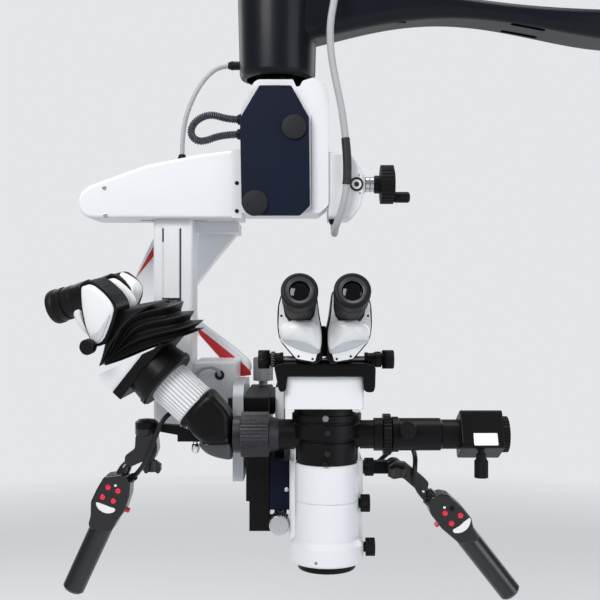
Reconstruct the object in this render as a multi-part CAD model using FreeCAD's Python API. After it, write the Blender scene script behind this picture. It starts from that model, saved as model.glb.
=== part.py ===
import FreeCAD, Part
import math
import os
from FreeCAD import Rotation
from FreeCAD import Vector as V

# Surgical microscope on a suspended arm: swing arm, swivelling head with a balancing cross beam,
# tilting slide stack, microscope body with two binoculars, a video tube and two control handles.
# All lengths are millimetres. The functions work in the microscope's own frame: +X right,
# +Y away from the surgeon, +Z up, zero near the eyepieces. save() then moves every piece so that
# the vertical bore in the arm's root boss is the origin.

# Fits
FIT = 0.05            # radial play of a shaft in its hole
GAP = 0.3             # seat or running gap between two bodies
EX = V(1, 0, 0)
EY = V(0, 1, 0)
EZ = V(0, 0, 1)

# Swing arm
REACH = 485.0         # hub axis to root bore
HUB_X = -30.0
HUB_Y = 130.0
HUB_Z0 = 293.0        # lower face of the hub
HUB_R = 50.5
HUB_H = 135.0
HUB_WALL = 9.0
ROOT_Z = 368.0        # middle of the root boss
ROOT_R = 40.0
ROOT_H = 66.0
ROOT_BORE = 17.5
ARM_W = 84.0          # arm width at its root
ARM_NECK = 64.0       # arm width at its narrowest

# Head
SPINDLE_R = 21.0
COLLAR_T = 12.0
HEAD_TOP = 285.0
HEAD_BOTTOM = 112.0
HEAD_FRONT = 87.0
HEAD_DEPTH = 88.0
HEAD_X0 = -76.0
HEAD_X1 = 37.0
PLATE_T = 12.0

# Cross beam
BEAM_Y0 = 90.0
BEAM_DEPTH = 76.0
BEAM_Z0 = 106.0
BEAM_Z1 = 194.0
BEAM_LEFT = -290.0
BEAM_RIGHT = 82.0
RAIL_LEFT = -221.0
RAIL_H = 44.5
RAIL_Z0 = 121.0
RAIL_DEPTH = 44.0
CHEEK_T = 13.0

# Leadscrew of the cross beam and its wheel
C_Z = 154.0
C_SCREW_R = 6.0
C_WHEEL_R = 26.0
C_WHEEL_T = 17.0
C_COLLAR_R = 9.5

# Carriage under the beam
POST_X0 = -192.0
POST_X1 = -141.0
POST_Y0 = 104.0
POST_DEPTH = 62.0
CARRIAGE_T = 14.0
BAR_W = 20.4
BAR_GAP = 2.4
BLOCK_X1 = -84.0
BLOCK_Y0 = 112.0
BLOCK_Z0 = -172.0
BLOCK_Z1 = -81.0
LINK_Y0 = 152.0
LINK_T = 26.0

# Tilt joint and slides
TILT_Y = 158.0
TILT_Z = -132.0
TILT_R = 16.0
TILT_PLATE_X1 = -70.3
SLIDE_X0 = -70.0
SLIDE_X1 = -38.5
SLIDE_Y0 = 40.0
SLIDE_Y1 = 222.0
SLIDE_TOP = -120.5
SLIDE_Z0 = -276.0
B_KNOB_Y = 200.0
B_KNOB_R = 14.0
B_KNOB_H = 31.0
B_SCREW_R = 5.0
A_KNOB_Z = -274.0
A_KNOB_R = 12.4
A_KNOB_L = 25.0
A_SCREW_R = 4.0

# Microscope body
HOUSING_W = 90.0
MOUNT_T = 25.2        # depth carriage between the slide block and the housing
HOUSING_X0 = SLIDE_X1 + GAP + MOUNT_T
OPT_X = HOUSING_X0 + HOUSING_W / 2
STACK_TOP = -126.0
STACK_R = 41.5
STACK_R_LOW = 37.0
BODY_TOP = -194.0
BODY_R = 38.0
BODY_SEAM = -239.0
BODY_FLARE = -284.0
BODY_FLARE_R = 44.0
BODY_BOTTOM = -311.0
A_KNOB_X = HOUSING_X0 - 12.5
HOUSING_Y0 = 14.0
HOUSING_Y1 = 104.0
OBJECTIVE_R = 34.5
OBJECTIVE_H = 9.0
LENS_R = 29.0
LENS_T = 4.0
KNOB_SHAFT_R = 4.0

# Transverse axis of the observer tube and the video tube
CROSS_Z = -161.0
CROSS_R = 18.0
CROSS_BORE = 13.0

# Main binocular
BINO_X = OPT_X - 4
BINO_W = 92.0
BINO_Y0 = -45.0
BINO_Y1 = 52.0
BINO_Z1 = -88.0
BINO_TILT_Z = -98.0   # tilt pivots in the sides of the box
SHAFT_Y = -20.0
SHAFT_Z = -70.0       # shaft of the spacing knobs
SHAFT_R = 4.0
EAR_T = 13.5
EYE_HALF = 28.5
EYE_Z = 10.7
EYE_Y = -120.0
EYE_R = 19.6
EYE_TILT = 20.0
HALF_SPLIT = 2.2      # half of the slot between the two prism housings

# Observer binocular
OBS_RING_R = 27.0
ELBOW_X = -89.6
OBLIQUE = 42.4        # angle of the oblique axis above the horizontal
OBS_TURN = -10.0      # rest angle about the transverse axis
OBS_ROLL = -25.0      # rest angle about the oblique axis
BARREL_R = 27.0
BARREL_A0 = 49.0
BARREL_A1 = 95.0
ADAPTER_R = 40.0
OBS_HALF = 29.0
PLATE_DEPTH = 11.0    # thick plate under the observer's box
OBS_EYE_R = 20.2

# Handles
GRIP_R = 14.0
BUTTON_R = 3.6
BUTTON_TRAVEL = 1.5

# Cables: hand-chosen routes in the microscope's frame
ARM_HOSE_R = 4.7
ARM_HOSE = [(47, 90, 404), (47, 75, 404), (44, 69, 384), (38, 70, 352), (39, 73, 318), (45, 75, 284), (53, 76, 248),
            (58, 77, 212), (61, 77, 176), (60, 77, 144), (54, 80, 116), (46, 88, 95), (45, 102, 85), (45, 113, 92),
            (45, 113, 106)]
BEAM_CABLE_R = 3.3
BEAM_CABLE = [(-90, 150, 318), (-108, 150, 318), (-127, 150, 304), (-143, 150, 280), (-155, 150, 250),
              (-160, 150, 219), (-160, 150, 190)]
CONDUIT_R = 5.2
CONDUIT = [(-76, 130, 241), (-96, 130, 241), (-120, 128, 249), (-141, 125, 238), (-147, 123, 220),
           (-133, 122, 208), (-104, 122, 220), (-76, 122, 220)]
CABLE_L_R = 3.0
CABLE_L = [(-142, 45, -154), (-142, 45, -143), (-151, 35, -134), (-166, 25, -143), (-175, 22, -162),
           (-182, 20, -181), (-190, 24, -200), (-200.86, 35.87, -213.86), (-206.228, 40.705, -219.228)]
CABLE_R_R = 3.0
CABLE_R = [(77, 84, -214), (95, 84, -214), (112, 75, -196), (127, 60, -180), (138, 42, -179), (142, 25, -192),
           (139, 14, -209), (141.63, 18.654, -231.632), (154.557, 23.823, -244.557)]

SHAPES = {}


def save(name, *solids):
    """Move the solids from the microscope's frame to the root bore and keep them under a name."""
    origin = V(-(HUB_X + REACH), -HUB_Y, -ROOT_Z)
    moved = []
    for solid in solids:
        copy = solid.copy()
        copy.translate(origin)
        moved.append(copy)
    SHAPES[name] = moved[0] if len(moved) == 1 else Part.makeCompound(moved)


def at_origin(p):
    """A point of the microscope's frame, in metres in the part's frame, for the joint list."""
    q = V(p) - V(HUB_X + REACH, HUB_Y, ROOT_Z)
    return [round(c / 1000, 5) for c in (q.x, q.y, q.z)]


def rod(r, start, axis, length):
    return Part.makeCylinder(r, length, V(start), V(axis))


def tube(r_out, r_in, start, axis, length):
    return rod(r_out, start, axis, length).cut(rod(r_in, start, axis, length))


def block(x0, x1, y0, y1, z0, z1):
    return Part.makeBox(x1 - x0, y1 - y0, z1 - z0, V(x0, y0, z0))


def turned(profile, start, axis):
    """Solid of revolution from (radius, distance along the axis) points."""
    pts = [V(r, 0, h) for r, h in profile]
    solid = Part.Face(Part.makePolygon(pts + pts[:1])).revolve(V(), EZ, 360)
    return placed(solid, start, axis)


def placed(solid, start, axis):
    """Turn local +Z onto the axis and move zero to the start."""
    turn = Rotation(EZ, V(axis))
    solid.Placement = FreeCAD.Placement(V(start), turn)
    return solid


def knurled(r, depth, count, start, axis, length):
    """Grip ring with straight ribs, one rib for each of count."""
    pts = []
    for i in range(2 * count):
        a = math.pi * i / count
        rr = r if i % 2 == 0 else r - depth
        pts.append(V(rr * math.cos(a), rr * math.sin(a), 0))
    solid = Part.Face(Part.makePolygon(pts + pts[:1])).extrude(V(0, 0, length))
    return placed(solid, start, axis)


def rounded_wire(points, radius, to3d):
    """Closed wire through 2-D points, each corner rounded by an arc as far as its sides allow."""
    n = len(points)
    radii = radius if isinstance(radius, (list, tuple)) else [radius] * n
    arcs = []
    for i in range(n):
        p = V(points[i][0], points[i][1], 0)
        a = V(points[i - 1][0], points[i - 1][1], 0) - p
        b = V(points[(i + 1) % n][0], points[(i + 1) % n][1], 0) - p
        half = a.getAngle(b) / 2
        room = 0.48 * min(a.Length, b.Length)
        a.normalize()
        b.normalize()
        if radii[i] < 0.01 or half > 1.55:
            arcs.append((p, None, p))
            continue
        cut = min(radii[i] / math.tan(half), room)
        r = cut * math.tan(half)
        middle = p + (a + b).normalize() * (r / math.sin(half) - r)
        arcs.append((p + a * cut, middle, p + b * cut))
    edges = []
    for i in range(n):
        start, middle, end = arcs[i]
        if middle is not None:
            edges.append(Part.Arc(to3d(start), to3d(middle), to3d(end)).toShape())
        following = arcs[(i + 1) % n][0]
        if (following - end).Length > 1e-6:
            edges.append(Part.LineSegment(to3d(end), to3d(following)).toShape())
    return Part.Wire(edges)


def front_prism(points, radius, y0, y1):
    """Outline of (X, Z) points, extruded from y0 to y1."""
    wire = rounded_wire(points, radius, lambda p: V(p.x, y0, p.y))
    return Part.Face(wire).extrude(V(0, y1 - y0, 0))


def plan_prism(points, radius, z0, z1):
    """Outline of (X, Y) points, extruded from z0 to z1."""
    wire = rounded_wire(points, radius, lambda p: V(p.x, p.y, z0))
    return Part.Face(wire).extrude(V(0, 0, z1 - z0))


def side_prism(points, radius, x0, x1):
    """Outline of (Y, Z) points, extruded from x0 to x1."""
    wire = rounded_wire(points, radius, lambda p: V(x0, p.x, p.y))
    return Part.Face(wire).extrude(V(x1 - x0, 0, 0))


def softened(solid, radius, chosen):
    """Round the edges that the test picks."""
    edges = [e for e in solid.Edges if chosen(e)]
    return solid.makeFillet(radius, edges)


def in_plane(axis, value):
    """Edge test: the whole edge lies in the plane where this coordinate has this value."""
    def test(edge):
        bb = edge.BoundBox
        low = getattr(bb, axis + "Min")
        high = getattr(bb, axis + "Max")
        return abs(low - value) < 1e-3 and abs(high - value) < 1e-3
    return test


def cord(points, r, name):
    """Round cable through the points: straight runs joined by tangent arcs."""
    pts = [V(p) for p in points]
    edges = []
    start = pts[0]
    radii = []
    for i in range(1, len(pts) - 1):
        p = pts[i]
        a = pts[i - 1] - p
        b = pts[i + 1] - p
        half = a.getAngle(b) / 2
        cut = 0.45 * min(a.Length, b.Length)
        bend = cut * math.tan(half)
        a.normalize()
        b.normalize()
        middle = p + (a + b).normalize() * (bend / math.sin(half) - bend)
        edges.append(Part.LineSegment(start, p + a * cut).toShape())
        edges.append(Part.Arc(p + a * cut, middle, p + b * cut).toShape())
        start = p + b * cut
        radii.append(round(bend, 1))
    edges.append(Part.LineSegment(start, pts[-1]).toShape())
    path = Part.Wire(edges)
    heading = edges[0].tangentAt(edges[0].FirstParameter)
    circle = Part.Wire(Part.makeCircle(r, pts[0], heading))
    solid = path.makePipeShell([circle], True, False)
    print(name, "length", round(path.Length, 1), "volume ratio",
          round(solid.Volume / (math.pi * r * r * path.Length), 4), "bends", radii)
    return solid


def arm_casting():
    """Hub shell, arched arm and root boss in one casting."""
    top = HUB_Z0 + HUB_H
    hub = turned([(0, 0), (HUB_R - 7, 0), (HUB_R - 2, 2), (HUB_R, 7), (HUB_R + 3, HUB_H - 6),
                  (HUB_R - 3, HUB_H), (0, HUB_H)], (HUB_X, HUB_Y, HUB_Z0), EZ)
    root_x = HUB_X + REACH
    sections = []
    for dist, width, low, high in ((20, 76, 338, 426), (70, 70, 348, 424), (REACH * 0.45, ARM_NECK, 371, 402),
                                   (REACH * 0.66, 72, 361, 387), (REACH * 0.86, ARM_W, 343, 379),
                                   (REACH, ARM_W * 0.94, 339, 378)):
        x = HUB_X + dist
        half = width / 2
        corners = [(-half, low), (half, low), (half, high), (-half, high)]
        wire = rounded_wire(corners, [17, 17, 12, 12], lambda p, x=x: V(x, HUB_Y + p.x, p.y))
        sections.append(wire)
    arm = Part.makeLoft(sections, True, False)
    root = turned([(0, 0), (ROOT_R - 4, 0), (ROOT_R, 4), (ROOT_R, ROOT_H - 4), (ROOT_R - 4, ROOT_H), (0, ROOT_H)],
                  (root_x, HUB_Y, ROOT_Z - ROOT_H / 2), EZ)
    body = hub.fuse([arm, root])
    body = body.cut(rod(ROOT_BORE, (root_x, HUB_Y, ROOT_Z - ROOT_H), EZ, 2 * ROOT_H))
    inner = HUB_R - HUB_WALL
    body = body.cut(rod(SPINDLE_R + FIT, (HUB_X, HUB_Y, HUB_Z0 - 1), EZ, HUB_H))
    body = body.cut(rod(inner, (HUB_X, HUB_Y, HUB_Z0 - 1), EZ, 13))
    body = body.cut(rod(inner, (HUB_X, HUB_Y, top - COLLAR_T), EZ, HUB_H))
    for x, y, length in ((root_x - 178, HUB_Y - 20, 46), (root_x - 184, HUB_Y + 16, 50)):
        slot = plan_prism([(x, y - 5), (x + length, y - 5), (x + length, y + 5), (x, y + 5)], 4.8, 330, 376)
        body = body.cut(slot)
    screw = rod(9.5, (HUB_X + 162, HUB_Y - 6, 366), EZ, 12)
    hose_gland = rod(ARM_HOSE_R + 3, ARM_HOSE[0], EY, 14)
    cable_gland = rod(BEAM_CABLE_R + 2.5, BEAM_CABLE[0], EX, 22)
    return body.fuse([screw, hose_gland, cable_gland]).removeSplitter()


def head_spindle():
    """Vertical pivot: hangs by its collar inside the hub and carries the head."""
    seat = HUB_Z0 + HUB_H - COLLAR_T
    shaft = rod(SPINDLE_R, (HUB_X, HUB_Y, HEAD_TOP), EZ, seat - HEAD_TOP + 1)
    r = HUB_R - HUB_WALL - GAP
    collar = turned([(0, 0), (r, 0), (r, COLLAR_T - 2), (r - 3, COLLAR_T + 1), (0, COLLAR_T + 1)],
                    (HUB_X, HUB_Y, seat), EZ)
    return shaft.fuse(collar).removeSplitter()


def head_housing():
    """Cast housing round the beam, with the rounded tower on its right and the cheek on its left."""
    y1 = HEAD_FRONT + HEAD_DEPTH
    outline = [(HEAD_X0, HEAD_BOTTOM), (HEAD_X0, 248), (HEAD_X0 + 18, HEAD_TOP), (-9, HEAD_TOP), (-3, 271),
               (3, 283), (18, 288), (33, 278), (HEAD_X1, 258), (HEAD_X1, HEAD_BOTTOM + 10),
               (HEAD_X1 - 13, HEAD_BOTTOM)]
    radii = [4, 16, 12, 3, 3, 6, 9, 12, 12, 8, 8]
    body = front_prism(outline, radii, HEAD_FRONT, y1)
    body = softened(body, 5, in_plane("Y", y1))
    cheek = front_prism([(HEAD_X0 - CHEEK_T, BEAM_Z0), (HEAD_X0 + 1, BEAM_Z0), (HEAD_X0 + 1, BEAM_Z1 + 2),
                         (HEAD_X0 - CHEEK_T, BEAM_Z1 - 1)], 2, HEAD_FRONT, y1 - 6)
    body = body.fuse(cheek)
    body = body.cut(rail_box(HEAD_X0 - CHEEK_T - 5, HEAD_X1 + 5))
    seam = block(14, 15.2, HEAD_FRONT - 1, HEAD_FRONT + 1.2, HEAD_BOTTOM + 4, 238)
    return body.cut(seam).removeSplitter()


def rail_box(x0, x1):
    y0 = BEAM_Y0 + (BEAM_DEPTH - RAIL_DEPTH) / 2
    return block(x0, x1, y0, y0 + RAIL_DEPTH, RAIL_Z0, RAIL_Z0 + RAIL_H)


def front_plate():
    """Flat cover on the front of the head with its two round caps."""
    y1 = HEAD_FRONT
    y0 = y1 - PLATE_T
    outline = [(-52, 275), (-11.5, 275), (11.5, 234), (12.8, 121.5), (0, 108.7), (-64, 108.7), (-75, 121.5),
               (-77, 233)]
    plate = front_prism(outline, [3, 3, 6, 6, 6, 6, 6, 6], y0, y1)
    plate = softened(plate, 1.5, in_plane("Y", y0))
    for x, z, r in ((-7.7, 221, 16), (-57.5, 124, 16.6)):
        plate = plate.fuse(turned([(0, 0), (r, 0), (r, 2), (r - 1.5, 3.2), (0, 3.2)], (x, y0, z), -EY))
    for x, z in ((-48.6, 268.6), (-19, 270)):
        plate = plate.cut(rod(2.6, (x, y0 - 1, z), EY, 4))
    return plate


def beam_rail():
    """Steel box rail with the bore for the leadscrew and the slot for the carriage's neck."""
    rail = rail_box(RAIL_LEFT, BEAM_RIGHT - 18)
    rail = rail.cut(rod(C_SCREW_R + 1, (RAIL_LEFT + 5, beam_mid(), C_Z), EX, 400))
    return rail.cut(neck_slot(RAIL_Z0 - 1, C_Z + C_SCREW_R + NECK_ROOF + GAP))


def beam_mid():
    return BEAM_Y0 + BEAM_DEPTH / 2


NECK_W = 14.0
NECK_L = 16.0
NECK_X = -168.0
NECK_ROOF = 3.0       # neck above the leadscrew
C_RANGE = 35.0


def neck_slot(z0, z1):
    reach = C_RANGE + NECK_L / 2 + 2
    half = NECK_W / 2 + 0.5
    return block(NECK_X - reach, NECK_X + reach, beam_mid() - half, beam_mid() + half, z0, z1)


def beam_cover():
    """Tapered moulded cover over the left half of the beam."""
    x1 = HEAD_X0 - CHEEK_T
    nose = [(BEAM_LEFT + dx, BEAM_Z0 + dz)
            for dx, dz in ((28, 0), (14, 1), (6, 7), (2, 16), (2.5, 26), (7.5, 35), (16, 42), (30, 47))]
    outline = [(x1, BEAM_Z0)] + nose + [(-200, 175), (-130, 189), (x1, BEAM_Z1)]
    radii = [0] + [14] * len(nose) + [60, 60, 0]
    cover = front_prism(outline, radii, BEAM_Y0, BEAM_Y0 + BEAM_DEPTH)
    cover = softened(cover, 4, lambda e: in_plane("Y", BEAM_Y0)(e) and e.BoundBox.XMin < x1 - 1)
    cover = cover.fuse(rod(6, (-160, 150, 170), EZ, 20))
    cover = cover.cut(rail_box(RAIL_LEFT, x1 + 1))
    return cover.cut(neck_slot(BEAM_Z0 - 1, RAIL_Z0 + 1))


def beam_end():
    """Rounded cover over the right end, with the boss for the leadscrew."""
    x0 = HEAD_X1
    outline = [(x0, BEAM_Z0), (66, BEAM_Z0), (79, 121), (BEAM_RIGHT + 2, 150), (78, 174), (64, BEAM_Z1 - 2),
               (x0, BEAM_Z1 - 2)]
    cover = front_prism(outline, [0, 12, 16, 24, 16, 14, 0], BEAM_Y0, BEAM_Y0 + BEAM_DEPTH)
    cover = softened(cover, 4, lambda e: in_plane("Y", BEAM_Y0)(e) and e.BoundBox.XMax > x0 + 1)
    cover = cover.fuse(rod(13, (BEAM_RIGHT - 30, beam_mid(), C_Z), EX, 34))
    cover = cover.cut(rail_box(x0 - 1, BEAM_RIGHT - 18))
    ring = tube(9.4, 8.2, (74 - 0.6, BEAM_Y0 - 0.1, 150), EY, 0.8)
    cover = cover.cut(ring)
    return cover.cut(rod(C_SCREW_R + FIT, (BEAM_RIGHT - 30, beam_mid(), C_Z), EX, 60))


def c_wheel():
    """Leadscrew with its collars, knurled wheel and crank grip."""
    x0 = BEAM_RIGHT + 4 + GAP
    screw = rod(C_SCREW_R, (NECK_X - 45, beam_mid(), C_Z), EX, x0 - NECK_X + 45)
    hub = turned([(0, 0), (C_COLLAR_R, 0), (C_COLLAR_R, 12), (12, 13), (12, 21), (0, 21)],
                 (x0, beam_mid(), C_Z), EX)
    wheel = knurled(C_WHEEL_R, 1.0, 30, (x0 + 21, beam_mid(), C_Z), EX, C_WHEEL_T)
    grip = turned([(0, -4), (5, -4), (5, 0), (7.3, 2), (7.3, 20), (5.5, 22), (0, 22)],
                  (x0 + 21 + C_WHEEL_T, beam_mid(), C_Z - C_WHEEL_R + 9), EX)
    return screw.fuse([hub, wheel, grip]).removeSplitter()


def carriage_post():
    """Carriage plate with its nut, and the post that hangs from it."""
    top = BEAM_Z0 - 0.2
    z1 = top - CARRIAGE_T
    post = block(POST_X0, POST_X1, POST_Y0, POST_Y0 + POST_DEPTH, BLOCK_Z0, top)
    post = softened(post, 4, lambda e: e.BoundBox.ZLength > 50 and e.BoundBox.YMax < POST_Y0 + 1)
    wing = block(POST_X1 - 1, BLOCK_X1, POST_Y0 + 46, LINK_Y0 + 48 + LINK_T, z1, top)
    neck = block(NECK_X - NECK_L / 2, NECK_X + NECK_L / 2, beam_mid() - NECK_W / 2, beam_mid() + NECK_W / 2,
                 top - 2, C_Z + C_SCREW_R + NECK_ROOF)
    post = post.fuse([wing, neck])
    x0, x1 = bar_range()
    post = post.cut(block(x0 - BAR_GAP, x1 + BAR_GAP, POST_Y0 - 1, POST_Y0 + 18, -33, z1 + 2))
    post = post.fuse(post_bar())
    return post.cut(rod(C_SCREW_R + FIT, (NECK_X - 40, beam_mid(), C_Z), EX, 80)).removeSplitter()


def bar_range():
    middle = (POST_X0 + POST_X1) / 2 - 1.5
    return middle - BAR_W / 2, middle + BAR_W / 2


def post_bar():
    """Bar in the post's channel with its two small connectors."""
    x0, x1 = bar_range()
    y1 = POST_Y0 + 18
    z1 = BEAM_Z0 - 0.2 - CARRIAGE_T + 2
    bar = block(x0, x1, POST_Y0 - 3, y1, 2.6, z1)
    bar = softened(bar, 2, lambda e: e.BoundBox.ZLength > 50 and e.BoundBox.YMax < POST_Y0)
    parts = []
    for x in (x0 + 4, x1 - 8):
        parts.append(block(x - 1, x + 5, y1 - 8, y1, -4, 2.6))
        parts.append(block(x, x + 4, y1 - 6, y1, -22, -4))
    return bar.fuse(parts).removeSplitter()


def link_arm():
    """Bent link behind the post, from the carriage down to the tilt bearing."""
    y0 = LINK_Y0 + 48
    top = BEAM_Z0 - 0.2 - CARRIAGE_T
    outline = [(-90, top), (-190, top), (-207, 88), (-236, 28), (-238, -6), (-215, -24), (-142, -50),
               (-112, -84), (-96, -108), (-76, -108), (-68, -98), (-72, -86), (-92, -68), (-146, -28),
               (-158, -8), (-152, 14), (-120, 56)]
    radii = [0, 0, 8, 16, 20, 20, 10, 10, 8, 8, 8, 8, 20, 14, 14, 14, 20]
    arm = front_prism(outline, radii, y0, y0 + LINK_T)
    return softened(arm, 2.5, lambda e: in_plane("Y", y0)(e) and e.BoundBox.ZMax < top - 1)


def tilt_block():
    """Bearing housing of the tilt joint."""
    body = block(POST_X1, BLOCK_X1, BLOCK_Y0, LINK_Y0 + 48, BLOCK_Z0, BLOCK_Z1)
    body = softened(body, 4, lambda e: in_plane("Z", BLOCK_Z1)(e) or in_plane("Z", BLOCK_Z0)(e))
    body = body.cut(rod(TILT_R + FIT, (BLOCK_X1 + 1, TILT_Y, TILT_Z), -EX, 48))
    return body.cut(rod(5, (-106, BLOCK_Y0 - 1, -99), EY, 9))


def tilt_plate():
    """Tilting plate: its shaft turns in the bearing housing, its foot holds the nut of the height screw."""
    x0 = BLOCK_X1 + GAP
    outline = [(SLIDE_Y0, -226), (SLIDE_Y0, -118), (54, -106), (176, -106), (196, -126), (214, -220), (214, -238),
               (180, -238), (150, -226)]
    plate = side_prism(outline, [4, 8, 8, 16, 8, 4, 4, 8, 10], x0, TILT_PLATE_X1)
    shaft = rod(TILT_R, (x0 + 2, TILT_Y, TILT_Z), -EX, 46)
    nut = block(TILT_PLATE_X1 - 1, b_axis_x() + 11, B_KNOB_Y - 11, B_KNOB_Y + 11, -238, -223)
    plate = plate.fuse([shaft, nut])
    plate = plate.cut(rod(B_SCREW_R + FIT, (b_axis_x(), B_KNOB_Y, -250), EZ, 40))
    return plate.removeSplitter()


def b_axis_x():
    return SLIDE_X0 + 18


def slide_block():
    """Double slide: height slide on the tilt plate, depth slide for the microscope body."""
    upper = block(SLIDE_X0, SLIDE_X1, SLIDE_Y0, SLIDE_Y1, -196, SLIDE_TOP)
    upper = softened(upper, 2.5, lambda e: in_plane("Z", SLIDE_TOP)(e) or e.BoundBox.ZLength > 60)
    middle = block(SLIDE_X0 + 3, SLIDE_X1, SLIDE_Y0, 120, -250, -195)
    lower = block(SLIDE_X0 + 7, SLIDE_X1, SLIDE_Y0, 100, SLIDE_Z0, -249)
    strip = block(SLIDE_X1 - 1, SLIDE_X1 + 6.5, 58, 200, -144, SLIDE_TOP - 2)
    foot = block(SLIDE_X0 + 7, A_KNOB_X + 11, SLIDE_Y0, SLIDE_Y0 + 14, -287, -269)
    body = upper.fuse([middle, lower, strip, foot])
    body = body.cut(rod(B_SCREW_R + FIT, (b_axis_x(), B_KNOB_Y, -200), EZ, 90))
    return body.cut(rod(A_SCREW_R + FIT, (A_KNOB_X, SLIDE_Y0 - 1, A_KNOB_Z), EY, 30)).removeSplitter()


def b_knob():
    """Knurled knob with the height screw."""
    z0 = SLIDE_TOP + GAP
    shaft = turned([(0, -140), (B_SCREW_R, -140), (B_SCREW_R, 0), (6.3, 0), (6.3, 7), (0, 7)],
                   (b_axis_x(), B_KNOB_Y, z0), EZ)
    knob = knurled(B_KNOB_R, 0.8, 28, (b_axis_x(), B_KNOB_Y, z0 + 7), EZ, B_KNOB_H)
    return shaft.fuse(knob)


def a_knob():
    """Knurled knob with the depth screw."""
    y0 = SLIDE_Y0 - GAP
    screw = rod(A_SCREW_R, (A_KNOB_X, y0 - 1, A_KNOB_Z), EY, 95)
    knob = knurled(A_KNOB_R, 0.8, 28, (A_KNOB_X, y0, A_KNOB_Z), -EY, A_KNOB_L)
    return screw.fuse(knob)


def mount_plate():
    """Depth carriage bolted to the microscope body, with the nut for the depth screw."""
    x0 = SLIDE_X1 + GAP
    x1 = HOUSING_X0
    bottom = A_KNOB_Z + A_KNOB_R + 2 * GAP
    plate = block(x0, x1, SLIDE_Y0, 150, bottom, -200)
    plate = softened(plate, 2, in_plane("Y", SLIDE_Y0))
    nut = block(A_KNOB_X - 8, A_KNOB_X + 8, 100, 114, A_KNOB_Z - 8, bottom + 1)
    riser = block(x1 - 18.5, x1 - 7, 66, 150, -201, -112)
    plate = plate.fuse([nut, riser])
    return plate.cut(rod(A_SCREW_R + FIT, (A_KNOB_X, 90, A_KNOB_Z), EY, 40)).removeSplitter()


def optics_body():
    """Turned lower body with its flared foot, merging into the rear housing."""
    h = BODY_TOP - BODY_BOTTOM
    flare = BODY_FLARE - BODY_BOTTOM
    barrel = turned([(0, 0), (BODY_FLARE_R - 2, 0), (BODY_FLARE_R, 2), (BODY_FLARE_R, flare - 6), (BODY_R, flare),
                     (BODY_R, h - 2), (BODY_R - 2, h), (0, h)], (OPT_X, 0, BODY_BOTTOM), EZ)
    half = HOUSING_W / 2
    rear = block(OPT_X - half, OPT_X + half, HOUSING_Y0, HOUSING_Y1, BODY_BOTTOM, BODY_TOP)
    rear = softened(rear, 8, lambda e: e.BoundBox.ZLength > 50)
    rear = softened(rear, 3, lambda e: in_plane("Z", BODY_TOP)(e) or in_plane("Z", BODY_BOTTOM)(e))
    body = barrel.fuse(rear).removeSplitter()
    body = body.cut(tube(BODY_R + 3, BODY_R - 0.8, (OPT_X, 0, BODY_SEAM), EZ, 1.2).cut(
        block(OPT_X - 60, OPT_X + 60, HOUSING_Y0, 80, BODY_SEAM - 2, BODY_SEAM + 3)))
    for x, y, z, r in side_knobs():
        body = body.cut(rod(KNOB_SHAFT_R + FIT, (x - 12, y, z), EX, 30))
    return body


def side_knobs():
    """Outer face, height and radius of each knob on the right side, from the top down."""
    right = OPT_X + HOUSING_W / 2
    return ((right, 34, -206, 11.2), (OPT_X + BODY_R, 0, -243.6, 10.5), (OPT_X + BODY_FLARE_R, 0, -296, 10.8))


def side_knob(i):
    x, y, z, r = side_knobs()[i]
    shaft = rod(KNOB_SHAFT_R, (x - 11, y, z), EX, 13)
    neck = rod(KNOB_SHAFT_R + 2, (x + GAP, y, z), EX, 3)
    knob = knurled(r, 0.7, 24, (x + 2.6, y, z), EX, 11)
    return shaft.fuse([neck, knob])


def objective_ring():
    z0 = BODY_BOTTOM - OBJECTIVE_H
    return turned([(LENS_R + 0.02, 0), (OBJECTIVE_R - 1, 0), (OBJECTIVE_R, 1), (OBJECTIVE_R, OBJECTIVE_H),
                   (LENS_R - 2, OBJECTIVE_H), (LENS_R - 2, 6), (LENS_R + 0.02, 6)], (OPT_X, 0, z0), EZ)


def objective_lens():
    z0 = BODY_BOTTOM - OBJECTIVE_H + 6 - LENS_T
    return turned([(0, -0.8), (LENS_R * 0.5, -0.6), (LENS_R - 0.5, 0), (LENS_R, 0.4), (LENS_R, LENS_T), (0, LENS_T)],
                  (OPT_X, 0, z0), EZ)


def stack_rings():
    """Beam splitter tower: three stepped rings and the two side flanges."""
    r = STACK_R
    low = STACK_R_LOW
    z0 = BODY_TOP
    tower = turned([(0, 0), (low - 1, 0), (low - 1, 3), (low, 3), (low, 26), (low - 1.5, 27), (low - 1.5, 30.5),
                    (r, 31.5), (r, 47.5), (r - 2, 48.5), (r - 2, 50.5), (r, 51.5), (r, 58.5), (r - 2.5, 59.5),
                    (r - 2.5, 64), (r, 64.5), (r, STACK_TOP - z0), (0, STACK_TOP - z0)], (OPT_X, 0, z0), EZ)
    left = rod(CROSS_R, (-25, 0, CROSS_Z), EX, 40)
    right = rod(CROSS_R - 1, (50, 0, CROSS_Z), EX, 38)
    tower = tower.fuse([left, right])
    tower = tower.cut(rod(CROSS_BORE + FIT, (-26, 0, CROSS_Z), EX, 26))
    tower = tower.cut(rod(CROSS_BORE + FIT, (64, 0, CROSS_Z), EX, 26))
    for y0, z in ((STACK_R - 3, 40), (STACK_R_LOW - 3, 15)):
        tower = tower.fuse(rod(3.6, (OPT_X, -y0, z0 + z), -EY, 4.2))
    return tower.removeSplitter()


def bino_base():
    """White box under the tilting binocular."""
    half = BINO_W / 2
    box = block(BINO_X - half, BINO_X + half, BINO_Y0, BINO_Y1, STACK_TOP, BINO_Z1)
    box = softened(box, 5, lambda e: e.BoundBox.ZLength > 30)
    box = softened(box, 1.5, in_plane("Z", BINO_Z1))
    for x, way in ((BINO_X - half, EX), (BINO_X + half, -EX)):
        box = box.cut(rod(5 + FIT, V(x, SHAFT_Y, BINO_TILT_Z) - way, way, 11))
    return box


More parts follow.
